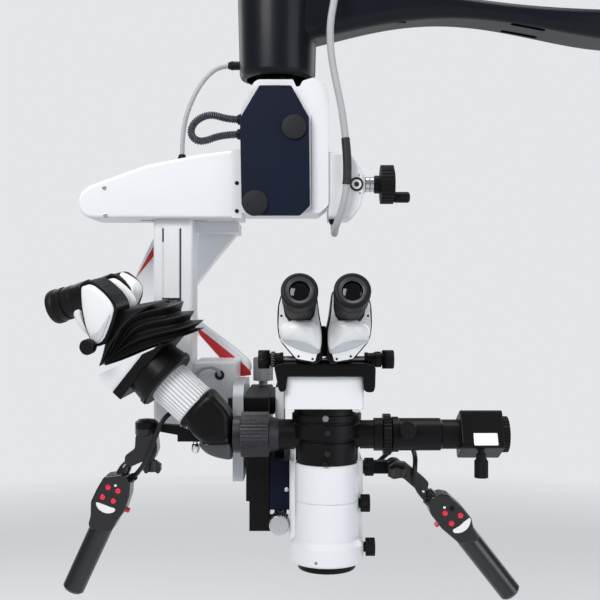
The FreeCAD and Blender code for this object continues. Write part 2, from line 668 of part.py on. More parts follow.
def bino_yoke():
    """Black tilting frame: two ears on the pivots, a ridged front and the bearings of the knob shaft."""
    half = BINO_W / 2 + GAP
    outer = half + EAR_T
    ear = [(-50, -69), (-50, -104), (-45, -108), (-8, -108), (-4, -90), (2, -78), (-10, -61.5), (-30, -61.5),
           (-38, -69)]
    parts = []
    for x0, x1 in ((BINO_X - outer, BINO_X - half), (BINO_X + half, BINO_X + outer)):
        parts.append(side_prism(ear, [2, 6, 6, 6, 6, 6, 8, 8, 2], x0, x1))
    front = [(-49, -69), (-50.5, -72), (-49, -74), (-50.5, -78), (-49, -80), (-50.5, -84), (-49, -91), (-45.4, -91),
             (-45.4, -81), (6, -81), (6, -74.6), (-44, -74.6), (-44, -69)]
    parts.append(side_prism(front, 0, BINO_X - outer + 1, BINO_X + outer - 1))
    pins = [rod(5, V(BINO_X - half - 1, SHAFT_Y, BINO_TILT_Z), EX, 10),
            rod(5, V(BINO_X + half + 1, SHAFT_Y, BINO_TILT_Z), -EX, 10)]
    yoke = parts[0].fuse(parts[1:] + pins)
    return yoke.cut(rod(SHAFT_R + FIT, (BINO_X - 80, SHAFT_Y, SHAFT_Z), EX, 160)).removeSplitter()


def bino_knobs():
    """Spacing shaft with a knob and a scale ring at each end."""
    end = BINO_W / 2 + EAR_T + 2 * GAP
    shaft = rod(SHAFT_R, (BINO_X - end - 3, SHAFT_Y, SHAFT_Z), EX, 2 * end + 6)
    parts = []
    for way in (-1, 1):
        parts.append(turned([(0, 0), (9.3, 0), (9.3, 12), (6, 12), (6, 13.5), (0, 13.5)],
                            (BINO_X + way * end, SHAFT_Y, SHAFT_Z), EX * way))
        parts.append(knurled(11, 0.7, 24, (BINO_X + way * (end + 13), SHAFT_Y, SHAFT_Z), EX * way, 12.5))
    return shaft.fuse(parts)


def eye_axis():
    t = math.radians(EYE_TILT)
    return V(0, -math.cos(t), math.sin(t))


def eye_root(side):
    """Where the eyepiece meets its prism housing; side is -1 left, +1 right."""
    length = (PRISM_Y0 - EYE_Y) / math.cos(math.radians(EYE_TILT))
    return V(BINO_X + side * EYE_HALF, EYE_Y, EYE_Z) - eye_axis() * length


PRISM_Y0 = -60.0
PRISM_Y1 = -14.0


def prism_half(side):
    """Prism housing of one eye: rounded casting with a raised front cover and a sleeve on the shaft."""
    x = BINO_X + side * EYE_HALF
    inner = EYE_HALF - HALF_SPLIT
    k = -side
    outline = [(-19, 13), (-25, -6), (-25.5, -30), (-23, -46), (-4, -66), (18, -67.5), (24, -52), (inner, -34),
               (23, -20), (19, 13)]
    radii = [8, 10, 14, 12, 10, 8, 10, 10, 10, 8]
    body = front_prism([(x + k * a, b) for a, b in outline], radii, PRISM_Y0, PRISM_Y1)
    body = softened(body, 6, in_plane("Y", PRISM_Y1))
    body = softened(body, 2.5, in_plane("Y", PRISM_Y0))
    cover = [(-18, -24), (-22, -34), (-20, -45), (-3, -62), (17, -64), (21, -52), (inner - 3, -36), (18, -24)]
    front = front_prism([(x + k * a, b) for a, b in cover], [8, 8, 8, 8, 6, 8, 8, 8], PRISM_Y0 - 7, PRISM_Y0 + 1)
    front = softened(front, 5, in_plane("Y", PRISM_Y0 - 7))
    sleeve = block(x - 9 + k * 5, x + 9 + k * 5, SHAFT_Y - 9, PRISM_Y1 - 1, -74.3, -60)
    body = body.fuse([front, sleeve])
    root = eye_root(side)
    boss = rod(17, root + eye_axis() * -14, eye_axis(), 16)
    body = body.fuse(boss)
    body = body.cut(rod(17.4, root + eye_axis() * 2, eye_axis(), 20))
    body = body.cut(rod(12 + FIT, root + eye_axis() * -10, eye_axis(), 20))
    return body.cut(rod(SHAFT_R + FIT, (x - 40, SHAFT_Y, SHAFT_Z), EX, 80)).removeSplitter()


def eyepiece(side):
    """Eyepiece with its scale sleeve, knurled focusing ring, eyecup and recessed lens seat."""
    start = 2 + GAP
    length = (PRISM_Y0 - EYE_Y) / math.cos(math.radians(EYE_TILT))
    root = eye_root(side)
    barrel = turned([(0, start - 11), (12, start - 11), (12, start), (16, start), (16, 15), (17.6, 17), (17.6, 31),
                     (18, 31), (18, 45), (EYE_R, 46), (EYE_R, length - 2), (EYE_R - 1.6, length),
                     (EYE_R - 4.5, length), (EYE_R - 5.5, length - 3), (11.8, length - 3), (11.8, length - 6),
                     (0, length - 6)], root, eye_axis())
    grip = knurled(EYE_R, 0.6, 36, root + eye_axis() * 32, eye_axis(), 12)
    return barrel.fuse(grip)


def cross_axis(x):
    return V(x, 0, CROSS_Z)


def elbow():
    return cross_axis(ELBOW_X)


def oblique_u():
    t = math.radians(OBLIQUE)
    return V(-math.cos(t), 0, math.sin(t))


def oblique_v():
    t = math.radians(OBLIQUE)
    return V(math.sin(t), 0, math.cos(t))


def oblique_point(a, b, w=0):
    """Point a along the oblique axis from the elbow, b across it and w in depth."""
    return elbow() + oblique_u() * a + oblique_v() * b + EY * w


def oblique_prism(points, radius, w0, w1):
    wire = rounded_wire(points, radius, lambda p: oblique_point(p.x, p.y, w0))
    return Part.Face(wire).extrude(EY * (w1 - w0))


def rolled(solid):
    """Rest turn of the head about the oblique axis."""
    solid.rotate(elbow(), oblique_u(), OBS_ROLL)
    return with_turn(solid)


def with_turn(solid):
    """Rest turn of the whole observer tube about the transverse axis."""
    solid.rotate(cross_axis(0), EX, OBS_TURN)
    return solid


def rest_point(p, roll=True):
    """The same two turns for a point or, from the elbow, a direction."""
    q = V(p)
    if roll:
        q = elbow() + Rotation(oblique_u(), OBS_ROLL).multVec(q - elbow())
    return cross_axis(0) + Rotation(EX, OBS_TURN).multVec(q - cross_axis(0))


def obs_ring():
    """Clamping ring of the observer tube: cone, knurled ring and neck, with its spigot."""
    x0 = -25 - GAP
    body = turned([(0, -20), (CROSS_BORE, -20), (CROSS_BORE, 0), (18.5, 0), (22, 11), (24, 12), (24, 45),
                   (22, 46), (22, 54.4), (0, 54.4)], cross_axis(x0), -EX)
    grip = knurled(OBS_RING_R, 1.0, 40, cross_axis(x0 - 12), -EX, 33)
    return with_turn(body.fuse(grip))


def obs_prism():
    """Elbow casting that turns the tube up to the oblique axis."""
    x0 = -25 - GAP - 54.4
    outline = [(-138, -143), (-124, -121), (-109.5, -110.7), (-103.5, -110), (-92, -122.6), (x0 + 1, -138),
               (x0, -160.7), (-86, -169), (-104.7, -175), (-115, -172), (-127, -160.7)]
    body = front_prism(outline, [6, 0, 3, 4, 8, 8, 6, 8, 10, 8, 8], -23, 23)
    body = softened(body, 5, in_plane("Y", -23))
    body = softened(body, 5, in_plane("Y", 23))
    flange = rod(26.4, cross_axis(x0), -EX, 6.5)
    seat = rod(BARREL_R - 2, oblique_point(20, 0), oblique_u(), BARREL_A0 - GAP - 20)
    body = body.fuse([flange, seat])
    body = body.common(rod(120, oblique_point(-90, 0), oblique_u(), 90 + BARREL_A0 - GAP))
    body = body.common(rod(120, cross_axis(x0), -EX, 150))
    body = body.cut(rod(12 + FIT, oblique_point(30, 0), oblique_u(), 40))
    return with_turn(body.removeSplitter())


def obs_barrel():
    """White ribbed grip tube on the oblique axis."""
    a0 = BARREL_A0
    length = BARREL_A1 - a0
    core = turned([(0, -15), (12, -15), (12, 0), (BARREL_R - 1, 0), (BARREL_R - 1, length), (0, length)],
                  oblique_point(a0, 0), oblique_u())
    ribs = knurled(BARREL_R, 0.9, 36, oblique_point(a0 + 1, 0), oblique_u(), length - 2)
    return rolled(core.fuse(ribs))


def obs_adapter():
    """Black cone between the ribbed tube and the prism box, with its square plate."""
    cone = turned([(0, 0), (ADAPTER_R - 2, 0), (ADAPTER_R, 2), (ADAPTER_R, 7), (ADAPTER_R - 1.5, 8),
                   (ADAPTER_R - 3.5, 24), (ADAPTER_R - 8, 27.5), (0, 27.5)], oblique_point(BARREL_A1, 0), oblique_u())
    a0 = BARREL_A1 + 27.5
    plate = oblique_prism([(a0 - 2, -46), (a0 + PLATE_DEPTH, -46), (a0 + PLATE_DEPTH, 17), (a0 + 3.5, 31), (a0 + 3, 44),
                           (a0 - 2, 44)], 0, -31, 31)
    return rolled(cone.fuse(plate).removeSplitter())


def obs_box():
    """White prism box under the bellows."""
    a0 = BARREL_A1 + 27.5 + PLATE_DEPTH
    box = oblique_prism([(a0, -45), (a0 + 22, -47), (a0 + 27, -43), (a0 + 6, 5), (a0 + 1, 15), (a0, 15)],
                        [2, 4, 3, 4, 1, 0], -29, 29)
    return rolled(box)


def obs_bellows():
    """Folded cover that fans out from the hinge of the observer's head."""
    lower = [(161.8, -43.9), (138.8, 8.1), (127.8, 34.2), (126.5, 46), (118, 54), (112, 60)]
    tips = [(108, 72), (112, 66), (119, 75), (125, 67), (132, 76), (139, 68), (150, 77), (157, 68), (168, 62)]
    top = [(187, 30), (184, 8), (176, -18), (169, -36)]
    fan = oblique_prism(lower + tips + top, 0, -27, 27)
    hub = rod(PIVOT_HUB_R, oblique_point(HINGE_A, HINGE_B, -PIVOT_HUB_HALF), EY, 2 * PIVOT_HUB_HALF)
    bore = rod(HINGE_R + FIT, oblique_point(HINGE_A, HINGE_B, -PIVOT_HUB_HALF), EY, 2 * PIVOT_HUB_HALF)
    return rolled(fan.fuse(hub).cut(bore).removeSplitter())


HINGE_A = 184.0
HINGE_B = -10.0
HINGE_R = 4.0
PIVOT_HUB_R = 7.5
PIVOT_HUB_HALF = 7.6


def obs_half(side):
    """One half of the observer's head; side is -1 for the near half, +1 for the far one."""
    inner = side * 9.0
    outer = side * (OBS_HALF + 20)
    w0, w1 = min(inner, outer), max(inner, outer)
    plate = oblique_prism([(257, 25), (250, 37), (244, 34), (195, 4), (186, -3), (183, -18), (193, -18), (222, 2)],
                          [4, 4, 4, 6, 6, 6, 6, 10], w0, w1)
    bulb = oblique_prism([(249, 33), (241, 46), (229, 52), (213, 51), (203, 47), (198, 30), (193, 4), (201, 2)],
                         [8, 10, 10, 10, 4, 6, 6, 6], w0 + 1.5, w1 - 1.5)
    bulb = softened(bulb, 5, lambda e: e.Length > 6 and (e.BoundBox.YMin > max(w0, w1) - 2 or
                                                         e.BoundBox.YMax < min(w0, w1) + 2))
    centre = oblique_point(233, 18, side * OBS_HALF)
    d = oblique_eye()
    barrel = turned([(0, -4), (17, -4), (17, 8), (18.6, 9), (18.6, 20), (OBS_EYE_R, 21), (OBS_EYE_R, 39),
                     (OBS_EYE_R - 1.6, 41), (15, 41), (14, 38), (11.8, 38), (11.8, 35), (0, 35)], centre, d)
    shaft = rod(HINGE_R, oblique_point(HINGE_A, HINGE_B, side * 0.8), EY * side, 61)
    knob = knurled(9.75, 0.7, 24, oblique_point(HINGE_A, HINGE_B, side * 50), EY * side, 13)
    return rolled(plate.fuse([bulb, barrel, shaft, knob]).removeSplitter())


def oblique_eye():
    """Direction in which the observer's eyepieces point."""
    return (oblique_u() * 0.52 - oblique_v() * 0.854).normalize()


VIDEO_X = 88.0 + GAP
VIDEO_TURN = -26.0
BOX_SIDE = 46.8


def video_tube():
    """Camera tube: flange, knurled clamping ring, stepped barrel and the turned square housing."""
    x0 = VIDEO_X
    barrel = turned([(0, -20), (CROSS_BORE, -20), (CROSS_BORE, 0), (19.6, 0), (19.6, 10), (17, 10.5), (17, 21),
                     (21, 22), (21, 29), (19.4, 30), (19.4, 79), (17.6, 81), (17.6, 103), (0, 103)],
                    cross_axis(x0), EX)
    grip = knurled(24.6, 1.0, 32, cross_axis(x0 + 11), EX, 9)
    half = BOX_SIDE / 2
    box = side_prism([(-half, CROSS_Z - half), (half, CROSS_Z - half), (half, CROSS_Z + half),
                      (-half, CROSS_Z + half)], 5, x0 + 101.7, x0 + 152)
    box = softened(box, 1.5, lambda e: in_plane("X", x0 + 101.7)(e) or in_plane("X", x0 + 152)(e))
    box.rotate(cross_axis(x0), EX, VIDEO_TURN)
    end = knurled(21.6, 0.8, 30, cross_axis(x0 + 151), EX, 9)
    body = barrel.fuse([grip, box, end])
    lock = lock_place()
    body = body.cut(rod(3 + FIT, lock - lock_axis() * 8, lock_axis(), 12))
    return body.cut(rod(4 + FIT, video_knob_place() + EZ * 14, -EZ, 40)).removeSplitter()


def lock_axis():
    return V(0, -1, 0.32).normalize()


def lock_place():
    return cross_axis(VIDEO_X + 38) + lock_axis() * 19.4


def video_lock():
    """Round clamping knob on the front of the camera tube."""
    start = lock_place() + lock_axis() * GAP
    return turned([(0, -7), (3, -7), (3, 0), (5, 0.6), (5, 3), (9.6, 4), (10, 5), (10, 13), (8.6, 14.5), (0, 14.5)],
                  start, lock_axis())


def video_knob_place():
    """Where the under knob's stem leaves the slanted underside of the box."""
    return cross_axis(VIDEO_X + 125) + V(0, -22, -17.5)


def video_knob():
    """Focusing knob on a stem under the camera housing."""
    start = video_knob_place() - EZ * 2.4
    stem = turned([(0, -10), (4, -10), (4, 0), (6, 0), (6, 6), (6.8, 6), (6.8, 8), (6, 8), (0, 8)], start, -EZ)
    grip = knurled(8.2, 0.6, 20, start - EZ * 8, -EZ, 20)
    return stem.fuse(grip)


# Left handle
L_Y = 45.0
L_PIVOT = V(-191.4, L_Y, -160.0)
L_JOINT_R = 14.0
HEAD_T = 34.0


def handle_bar_l():
    """Bar from the tilt plate to the eye of the left handle's joint."""
    x1 = BLOCK_X1 + GAP
    bar = block(-152, x1, L_Y - 7, L_Y + 9, -176, -158.5)
    bar = softened(bar, 2, lambda e: e.BoundBox.XLength > 50)
    lever = front_prism([(-194, -159.7), (-150, -168), (-150, -156), (-194, -152)], 0, L_Y - 6, L_Y + 6)
    eye = turned([(0, 0), (L_JOINT_R, 0), (L_JOINT_R, 8), (L_JOINT_R - 4, 11), (0, 11)],
                 (L_PIVOT.x, L_Y, L_PIVOT.z + 0.2), EZ)
    body = bar.fuse([lever, eye])
    body = body.cut(block(-220, -176, 0, 90, -180, L_PIVOT.z + 0.2))
    boss = rod(5, (-142, L_Y, -160), EZ, 6)
    body = body.fuse(boss)
    return body.cut(rod(5 + FIT, L_PIVOT - EZ * 4, EZ, 30)).removeSplitter()


def grip_solid(head, radii, y_mid, neck, ball, grip_start, grip_end):
    """Switch head with its neck and ball stud, and the round grip that grows out of it."""
    y0 = y_mid - HEAD_T / 2
    y1 = y_mid + HEAD_T / 2
    body = front_prism(head, radii, y0, y1)
    body = softened(body, 5, in_plane("Y", y1))
    body = softened(body, 2, in_plane("Y", y0))
    start = V(grip_start[0], y_mid, grip_start[1])
    end = V(grip_end[0], y_mid, grip_end[1])
    along = end - start
    length = along.Length
    grip = turned([(0, -22), (GRIP_R - 2, -22), (GRIP_R, 0), (GRIP_R - 0.4, length - 3),
                   (GRIP_R - 3, length), (0, length)], start, along)
    n = V(neck[0], y_mid, neck[1])
    b = V(ball[0], y_mid, ball[1])
    stem = rod(3.2, b, n - b, (n - b).Length)
    collar = turned([(0, -5), (6, -5), (7.5, 0), (7.5, 14), (0, 14)], n, n - b)
    return body.fuse([grip, stem, collar])


L_HEAD = [(-241, -217), (-218, -214), (-209, -225), (-210, -242), (-216, -260), (-225, -272), (-233, -287),
          (-262, -281), (-258, -266), (-257.5, -248), (-250, -232)]
L_BUTTONS = [(-236, -230.5), (-223.8, -235), (-242.8, -242.4), (-229.6, -247.2)]
R_Y = 33.0
R_PIVOT = V(118.0, R_Y, -210.0)
R_HEAD = [(172, -236), (182, -238), (198, -252), (209, -266), (211, -276), (221, -293), (195.5, -298),
          (173, -279), (159, -261), (156, -248), (161, -240)]
R_BUTTONS = [(176.5, -259.5), (195.3, -262.3), (184.4, -272)]


def drill_buttons(body, spots, y_mid, side_at, side_way):
    y0 = y_mid - HEAD_T / 2
    for x, z in spots:
        body = body.cut(rod(BUTTON_R + 0.3, (x, y0 - 1, z), EY, 7))
    return body.cut(rod(BUTTON_R + 0.1, V(side_at) - side_way * 5.5, side_way, 20))


def button(x, z, y_mid):
    """Red push button in the face of a switch head."""
    y0 = y_mid - HEAD_T / 2
    return turned([(0, 0), (BUTTON_R, 0), (BUTTON_R, 4.4), (BUTTON_R - 1, 5.6), (0, 6)],
                  (x, y0 + 6 - BUTTON_TRAVEL - GAP, z), -EY)


def side_button(at, way):
    return turned([(0, 0), (BUTTON_R - 0.2, 0), (BUTTON_R - 0.2, 7.5), (BUTTON_R - 1.2, 8.6), (0, 9)],
                  V(at) - way * (5.5 - BUTTON_TRAVEL - GAP), way)


L_SIDE = V(-217.0, L_Y, -261.0)
L_SIDE_WAY = V(0.93, 0, -0.37).normalize()
R_SIDE = V(170.5, R_Y, -275.5)
R_SIDE_WAY = V(-0.75, 0, -0.66).normalize()


def grip_l():
    """Left handle with the lower half of its joint."""
    body = grip_solid(L_HEAD, [8, 6, 4, 10, 10, 10, 8, 8, 10, 12, 12], L_Y, (-217.5, -209), (-209.5, -196.5),
                      (-247.5, -283), (-283.7, -361.6))
    disc = turned([(0, 0), (L_JOINT_R, 0), (L_JOINT_R, 7), (L_JOINT_R - 3, 10), (0, 10)],
                  (L_PIVOT.x, L_Y, L_PIVOT.z), -EZ)
    knuckle = front_prism([(-203, -166), (-178, -166), (-176, -186), (-181, -199), (-194, -199.5), (-209, -206),
                           (-217, -201), (-216, -192), (-204, -184)], [4, 6, 6, 6, 6, 6, 6, 6, 8], L_Y - 12, L_Y + 12)
    pin = rod(5, L_PIVOT - EZ * 2, EZ, 14)
    body = body.fuse([disc, knuckle, pin, rod(5, (-211, L_Y, -224), V(1, -0.9, 1), 8)])
    body = body.cut(rod(3 + FIT, (-184, L_Y, -203), EZ, 14))
    return drill_buttons(body, L_BUTTONS, L_Y, L_SIDE, L_SIDE_WAY).removeSplitter()


def wing_knob(at, way, size):
    """Clamping knob with two wings on a threaded stud."""
    stud = rod(3, V(at) - V(way) * 9, way, 12)
    wings = [(-size, 5), (-size, 12), (-size + 3, 17), (-4, 14), (4, 14), (size - 3, 17), (size, 12), (size, 5),
             (4, 0), (-4, 0)]
    wire = rounded_wire(wings, 3, lambda p: V(p.x, -4.5, p.y))
    solid = Part.Face(wire).extrude(V(0, 9, 0))
    hub = Part.makeCylinder(6, 14)
    body = placed(solid.fuse(hub), V(at) + V(way) * GAP, way)
    return body.fuse(stud).removeSplitter()


def wing_l():
    return wing_knob((-184, L_Y, -199.5), -EZ, 11)


def handle_arm_r():
    """Bracket on the right of the rear housing, with the eye of the right handle's joint."""
    x0 = OPT_X + HOUSING_W / 2
    bar = block(x0, R_PIVOT.x - 4, 50, 64, -218, -202)
    bar = softened(bar, 2, lambda e: e.BoundBox.XLength > 20)
    eye = rod(11, R_PIVOT + EY * 7.2, EY, 24)
    return bar.fuse(eye).cut(rod(4 + FIT, R_PIVOT + EY * 6, EY, 30)).removeSplitter()


def grip_r():
    """Right handle with its link and joint pin."""
    body = grip_solid(R_HEAD, [8, 8, 12, 10, 8, 6, 6, 10, 10, 8, 8], R_Y, (160, -240), (151, -226),
                      (207.6, -294), (261.3, -362.6))
    link = front_prism([(118, -199), (130, -200), (152, -218), (160, -226), (152, -235), (142, -232), (126, -218),
                        (110, -221), (107, -206)], [8, 8, 6, 7, 7, 6, 8, 8, 8], R_Y - 7, R_Y + 7)
    pin = rod(4, R_PIVOT, EY, 30)
    body = body.fuse([link, pin, rod(5, (160, 26, -250), V(-1, -0.4, 1), 8)])
    body = body.cut(rod(3 + FIT, R_PIVOT - EY * 12, EY, 14))
    return drill_buttons(body, R_BUTTONS, R_Y, R_SIDE, R_SIDE_WAY).removeSplitter()


def wing_r():
    return wing_knob(R_PIVOT - EY * 7, -EY, 11)


def build():
    save("arm_casting", arm_casting())
    save("head_spindle", head_spindle())
    save("head_housing", head_housing())
    save("front_plate", front_plate())
    save("beam_rail", beam_rail())
    save("beam_cover", beam_cover())
    save("beam_end", beam_end())
    save("c_wheel", c_wheel())
    save("carriage_post", carriage_post())
    save("link_arm", link_arm())
    save("tilt_block", tilt_block())
    save("tilt_plate", tilt_plate())
    save("slide_block", slide_block())
    save("b_knob", b_knob())
    save("a_knob", a_knob())
    save("mount_plate", mount_plate())
    save("optics_body", optics_body())
    for i, name in enumerate(("light_knob", "zoom_knob", "focus_knob")):
        save(name, side_knob(i))
    save("objective_ring", objective_ring())
    save("objective_lens", objective_lens())
    save("stack_rings", stack_rings())
    save("bino_base", bino_base())
    save("bino_yoke", bino_yoke())
    save("bino_knobs", bino_knobs())
    for side, name in ((-1, "l"), (1, "r")):
        save("prism_" + name, prism_half(side))
        save("eyepiece_" + name, eyepiece(side))
    save("obs_ring", obs_ring())
    save("obs_prism", obs_prism())
    save("obs_barrel", obs_barrel(), obs_box())
    save("obs_adapter", obs_adapter())
    save("obs_bellows", obs_bellows())
    save("obs_near", obs_half(-1))
    save("obs_far", obs_half(1))
    save("video_tube", video_tube())
    save("video_lock", video_lock())
    save("video_knob", video_knob())
    save("handle_bar_l", handle_bar_l())
    save("grip_l", grip_l())
    save("wing_l", wing_l())
    save("handle_arm_r", handle_arm_r())
    save("grip_r", grip_r())
    save("wing_r", wing_r())
    for i, (x, z) in enumerate(L_BUTTONS):
        save("button_l%d" % (i + 1), button(x, z, L_Y))
    save("button_l5", side_button(L_SIDE, L_SIDE_WAY))
    for i, (x, z) in enumerate(R_BUTTONS):
        save("button_r%d" % (i + 1), button(x, z, R_Y))
    save("button_r4", side_button(R_SIDE, R_SIDE_WAY))
    save("conduit_loop", cord(CONDUIT, CONDUIT_R, "conduit_loop"))
    save("arm_hose", cord(ARM_HOSE, ARM_HOSE_R, "arm_hose"))
    save("beam_cable", cord(BEAM_CABLE, BEAM_CABLE_R, "beam_cable"))
    save("cable_l", cord(CABLE_L, CABLE_L_R, "cable_l"))
    save("cable_r", cord(CABLE_R, CABLE_R_R, "cable_r"))


build()
os.makedirs("parts", exist_ok=True)
for name, shape in SHAPES.items():
    shape.exportStep("parts/" + name + ".step")
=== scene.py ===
import math
import bmesh
import bpy
from mathutils import Matrix, Vector


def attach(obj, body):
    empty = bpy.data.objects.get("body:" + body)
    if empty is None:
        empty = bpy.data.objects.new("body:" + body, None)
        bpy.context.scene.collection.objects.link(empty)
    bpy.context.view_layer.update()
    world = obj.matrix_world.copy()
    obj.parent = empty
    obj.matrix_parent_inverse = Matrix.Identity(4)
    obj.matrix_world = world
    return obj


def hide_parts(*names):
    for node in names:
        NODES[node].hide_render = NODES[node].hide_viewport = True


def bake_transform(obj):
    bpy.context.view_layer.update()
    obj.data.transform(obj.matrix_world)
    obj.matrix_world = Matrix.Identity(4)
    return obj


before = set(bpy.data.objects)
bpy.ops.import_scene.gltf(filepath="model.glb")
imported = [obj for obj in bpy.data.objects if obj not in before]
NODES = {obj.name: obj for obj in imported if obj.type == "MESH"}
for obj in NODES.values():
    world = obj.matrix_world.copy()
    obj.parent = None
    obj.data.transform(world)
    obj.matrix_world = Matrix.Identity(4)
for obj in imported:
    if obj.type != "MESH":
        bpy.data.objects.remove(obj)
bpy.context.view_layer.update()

EX, EY, EZ = Vector((1, 0, 0)), Vector((0, 1, 0)), Vector((0, 0, 1))

# The part was drawn in the microscope's own millimetres. This is its root bore there.
ROOT_BORE = Vector((455.0, 130.0, 368.0))


def at(x, y, z):
    """A point of the microscope's own frame, as metres in the row frame."""
    return (Vector((x, y, z)) - ROOT_BORE) / 1000


def mm(v):
    return v / 1000


# Camera: level, as far away as the photograph's
FOCAL_PX, PHOTO_PX = 950, 600
SENSOR_MM = 36
CAMERA_BACK = 1140
camera_data = bpy.data.cameras.new("camera")
camera_data.lens = FOCAL_PX / PHOTO_PX * SENSOR_MM
camera_data.clip_end = 20
camera = bpy.data.objects.new("camera", camera_data)
camera.location = at(0, -CAMERA_BACK, 0)
camera.rotation_euler = (math.radians(90), 0, 0)
bpy.context.scene.collection.objects.link(camera)
bpy.context.scene.camera = camera
bpy.context.scene.view_settings.view_transform = "Standard"


# Shader node groups

def new_group(name, inputs, outputs):
    group = bpy.data.node_groups.new(name, "ShaderNodeTree")
    for label, kind, value in inputs:
        socket = group.interface.new_socket(name=label, in_out="INPUT", socket_type=kind)
        if value is not None:
            socket.default_value = value
    for label, kind in outputs:
        group.interface.new_socket(name=label, in_out="OUTPUT", socket_type=kind)
    return group, group.nodes.new("NodeGroupInput"), group.nodes.new("NodeGroupOutput")


def node(tree, kind, **settings):
    n = tree.nodes.new(kind)
    for key, value in settings.items():
        if key.startswith("in_"):
            n.inputs[key[3:].replace("_", " ").title()].default_value = value
        else:
            setattr(n, key, value)
    return n


def maths(tree, operation, a, b=None, clamp=False):
    n = tree.nodes.new("ShaderNodeMath")
    n.operation = operation
    n.use_clamp = clamp
    for i, value in enumerate((a, b)):
        if value is None:
            continue
        if isinstance(value, (int, float)):
            n.inputs[i].default_value = value
        else:
            tree.links.new(value, n.inputs[i])
    return n.outputs[0]


def make_edge_group():
    """Rounded shading normal at edges, and a broken-up mask of the edges that hands rub."""
    group, gin, gout = new_group("edge_wear", [("Width", "NodeSocketFloat", 0.0006),
                                               ("Scale", "NodeSocketFloat", 300.0),
                                               ("Amount", "NodeSocketFloat", 0.5)],
                                 [("Mask", "NodeSocketFloat"), ("Normal", "NodeSocketVector")])
    link = group.links.new
    bevel = node(group, "ShaderNodeBevel", samples=4)
    link(gin.outputs["Width"], bevel.inputs["Radius"])
    geometry = node(group, "ShaderNodeNewGeometry")
    dot = node(group, "ShaderNodeVectorMath", operation="DOT_PRODUCT")
    link(bevel.outputs[0], dot.inputs[0])
    link(geometry.outputs["Normal"], dot.inputs[1])
    coords = node(group, "ShaderNodeTexCoord")
    noise = node(group, "ShaderNodeTexNoise", in_detail=3.0)
    link(coords.outputs["Object"], noise.inputs["Vector"])
    link(gin.outputs["Scale"], noise.inputs["Scale"])
    turned_away = maths(group, "SUBTRACT", 1.0, dot.outputs["Value"])
    edge = maths(group, "MULTIPLY", turned_away, 9.0, True)
    broken = maths(group, "SUBTRACT", noise.outputs["Fac"], 0.42)
    broken = maths(group, "MULTIPLY", broken, 5.0, True)
    mask = maths(group, "MULTIPLY", edge, broken)
    mask = maths(group, "MULTIPLY", mask, gin.outputs["Amount"], True)
    link(mask, gout.inputs["Mask"])
    link(bevel.outputs[0], gout.inputs["Normal"])
    return group


def make_grain_group():
    """Fine height for a bump, a slow change of tone and a change of roughness."""
    group, gin, gout = new_group("surface_grain", [("Grain Scale", "NodeSocketFloat", 900.0),
                                                   ("Tone Scale", "NodeSocketFloat", 18.0)],
                                 [("Height", "NodeSocketFloat"), ("Tone", "NodeSocketFloat"),
                                  ("Roughness", "NodeSocketFloat")])
    link = group.links.new
    coords = node(group, "ShaderNodeTexCoord")
    fine = node(group, "ShaderNodeTexNoise", in_detail=2.0)
    slow = node(group, "ShaderNodeTexNoise", in_detail=4.0)
    link(coords.outputs["Object"], fine.inputs["Vector"])
    link(coords.outputs["Object"], slow.inputs["Vector"])
    link(gin.outputs["Grain Scale"], fine.inputs["Scale"])
    link(gin.outputs["Tone Scale"], slow.inputs["Scale"])
    link(fine.outputs["Fac"], gout.inputs["Height"])
    link(slow.outputs["Fac"], gout.inputs["Tone"])
    mixed = maths(group, "MULTIPLY", fine.outputs["Fac"], slow.outputs["Fac"])
    link(mixed, gout.inputs["Roughness"])
    return group


def make_brush_group():
    """Fine turned or drawn lines: noise stretched along one direction."""
    group, gin, gout = new_group("drawn_lines", [("Stretch", "NodeSocketVector", (2500.0, 2500.0, 30.0))],
                                 [("Height", "NodeSocketFloat")])
    coords = node(group, "ShaderNodeTexCoord")
    scaled = node(group, "ShaderNodeVectorMath", operation="MULTIPLY")
    noise = node(group, "ShaderNodeTexNoise", in_scale=1.0, in_detail=2.0)
    group.links.new(coords.outputs["Object"], scaled.inputs[0])
    group.links.new(gin.outputs["Stretch"], scaled.inputs[1])
    group.links.new(scaled.outputs[0], noise.inputs["Vector"])
    group.links.new(noise.outputs["Fac"], gout.inputs["Height"])
    return group


def make_dust_group():
    """Mask of the dust that settles on faces that look up."""
    group, gin, gout = new_group("settled_dust", [("Amount", "NodeSocketFloat", 0.2)],
                                 [("Mask", "NodeSocketFloat")])
    geometry = node(group, "ShaderNodeNewGeometry")
    split = node(group, "ShaderNodeSeparateXYZ")
    coords = node(group, "ShaderNodeTexCoord")
    noise = node(group, "ShaderNodeTexNoise", in_scale=160.0, in_detail=6.0)
    group.links.new(geometry.outputs["Normal"], split.inputs[0])
    group.links.new(coords.outputs["Object"], noise.inputs["Vector"])
    up = maths(group, "SUBTRACT", split.outputs["Z"], 0.35)
    up = maths(group, "MULTIPLY", up, 1.4, True)
    speck = maths(group, "MULTIPLY", up, noise.outputs["Fac"])
    mask = maths(group, "MULTIPLY", speck, gin.outputs["Amount"], True)
    group.links.new(mask, gout.inputs["Mask"])
    return group


EDGE = make_edge_group()
GRAIN = make_grain_group()
BRUSH = make_brush_group()
DUST = make_dust_group()
DUST_TONE = (0.55, 0.55, 0.54, 1)


def use(tree, group, **values):
    n = tree.nodes.new("ShaderNodeGroup")
    n.node_tree = group
    for key, value in values.items():
        n.inputs[key.replace("_", " ").title()].default_value = value
    return n


def blend_colour(tree, factor, a, b):
    mix = tree.nodes.new("ShaderNodeMix")
    mix.data_type = "RGBA"
    for socket, value in ((mix.inputs[0], factor), (mix.inputs[6], a), (mix.inputs[7], b)):
        if isinstance(value, (int, float, tuple)):
            socket.default_value = value
        else:
            tree.links.new(value, socket)
    return mix.outputs[2]


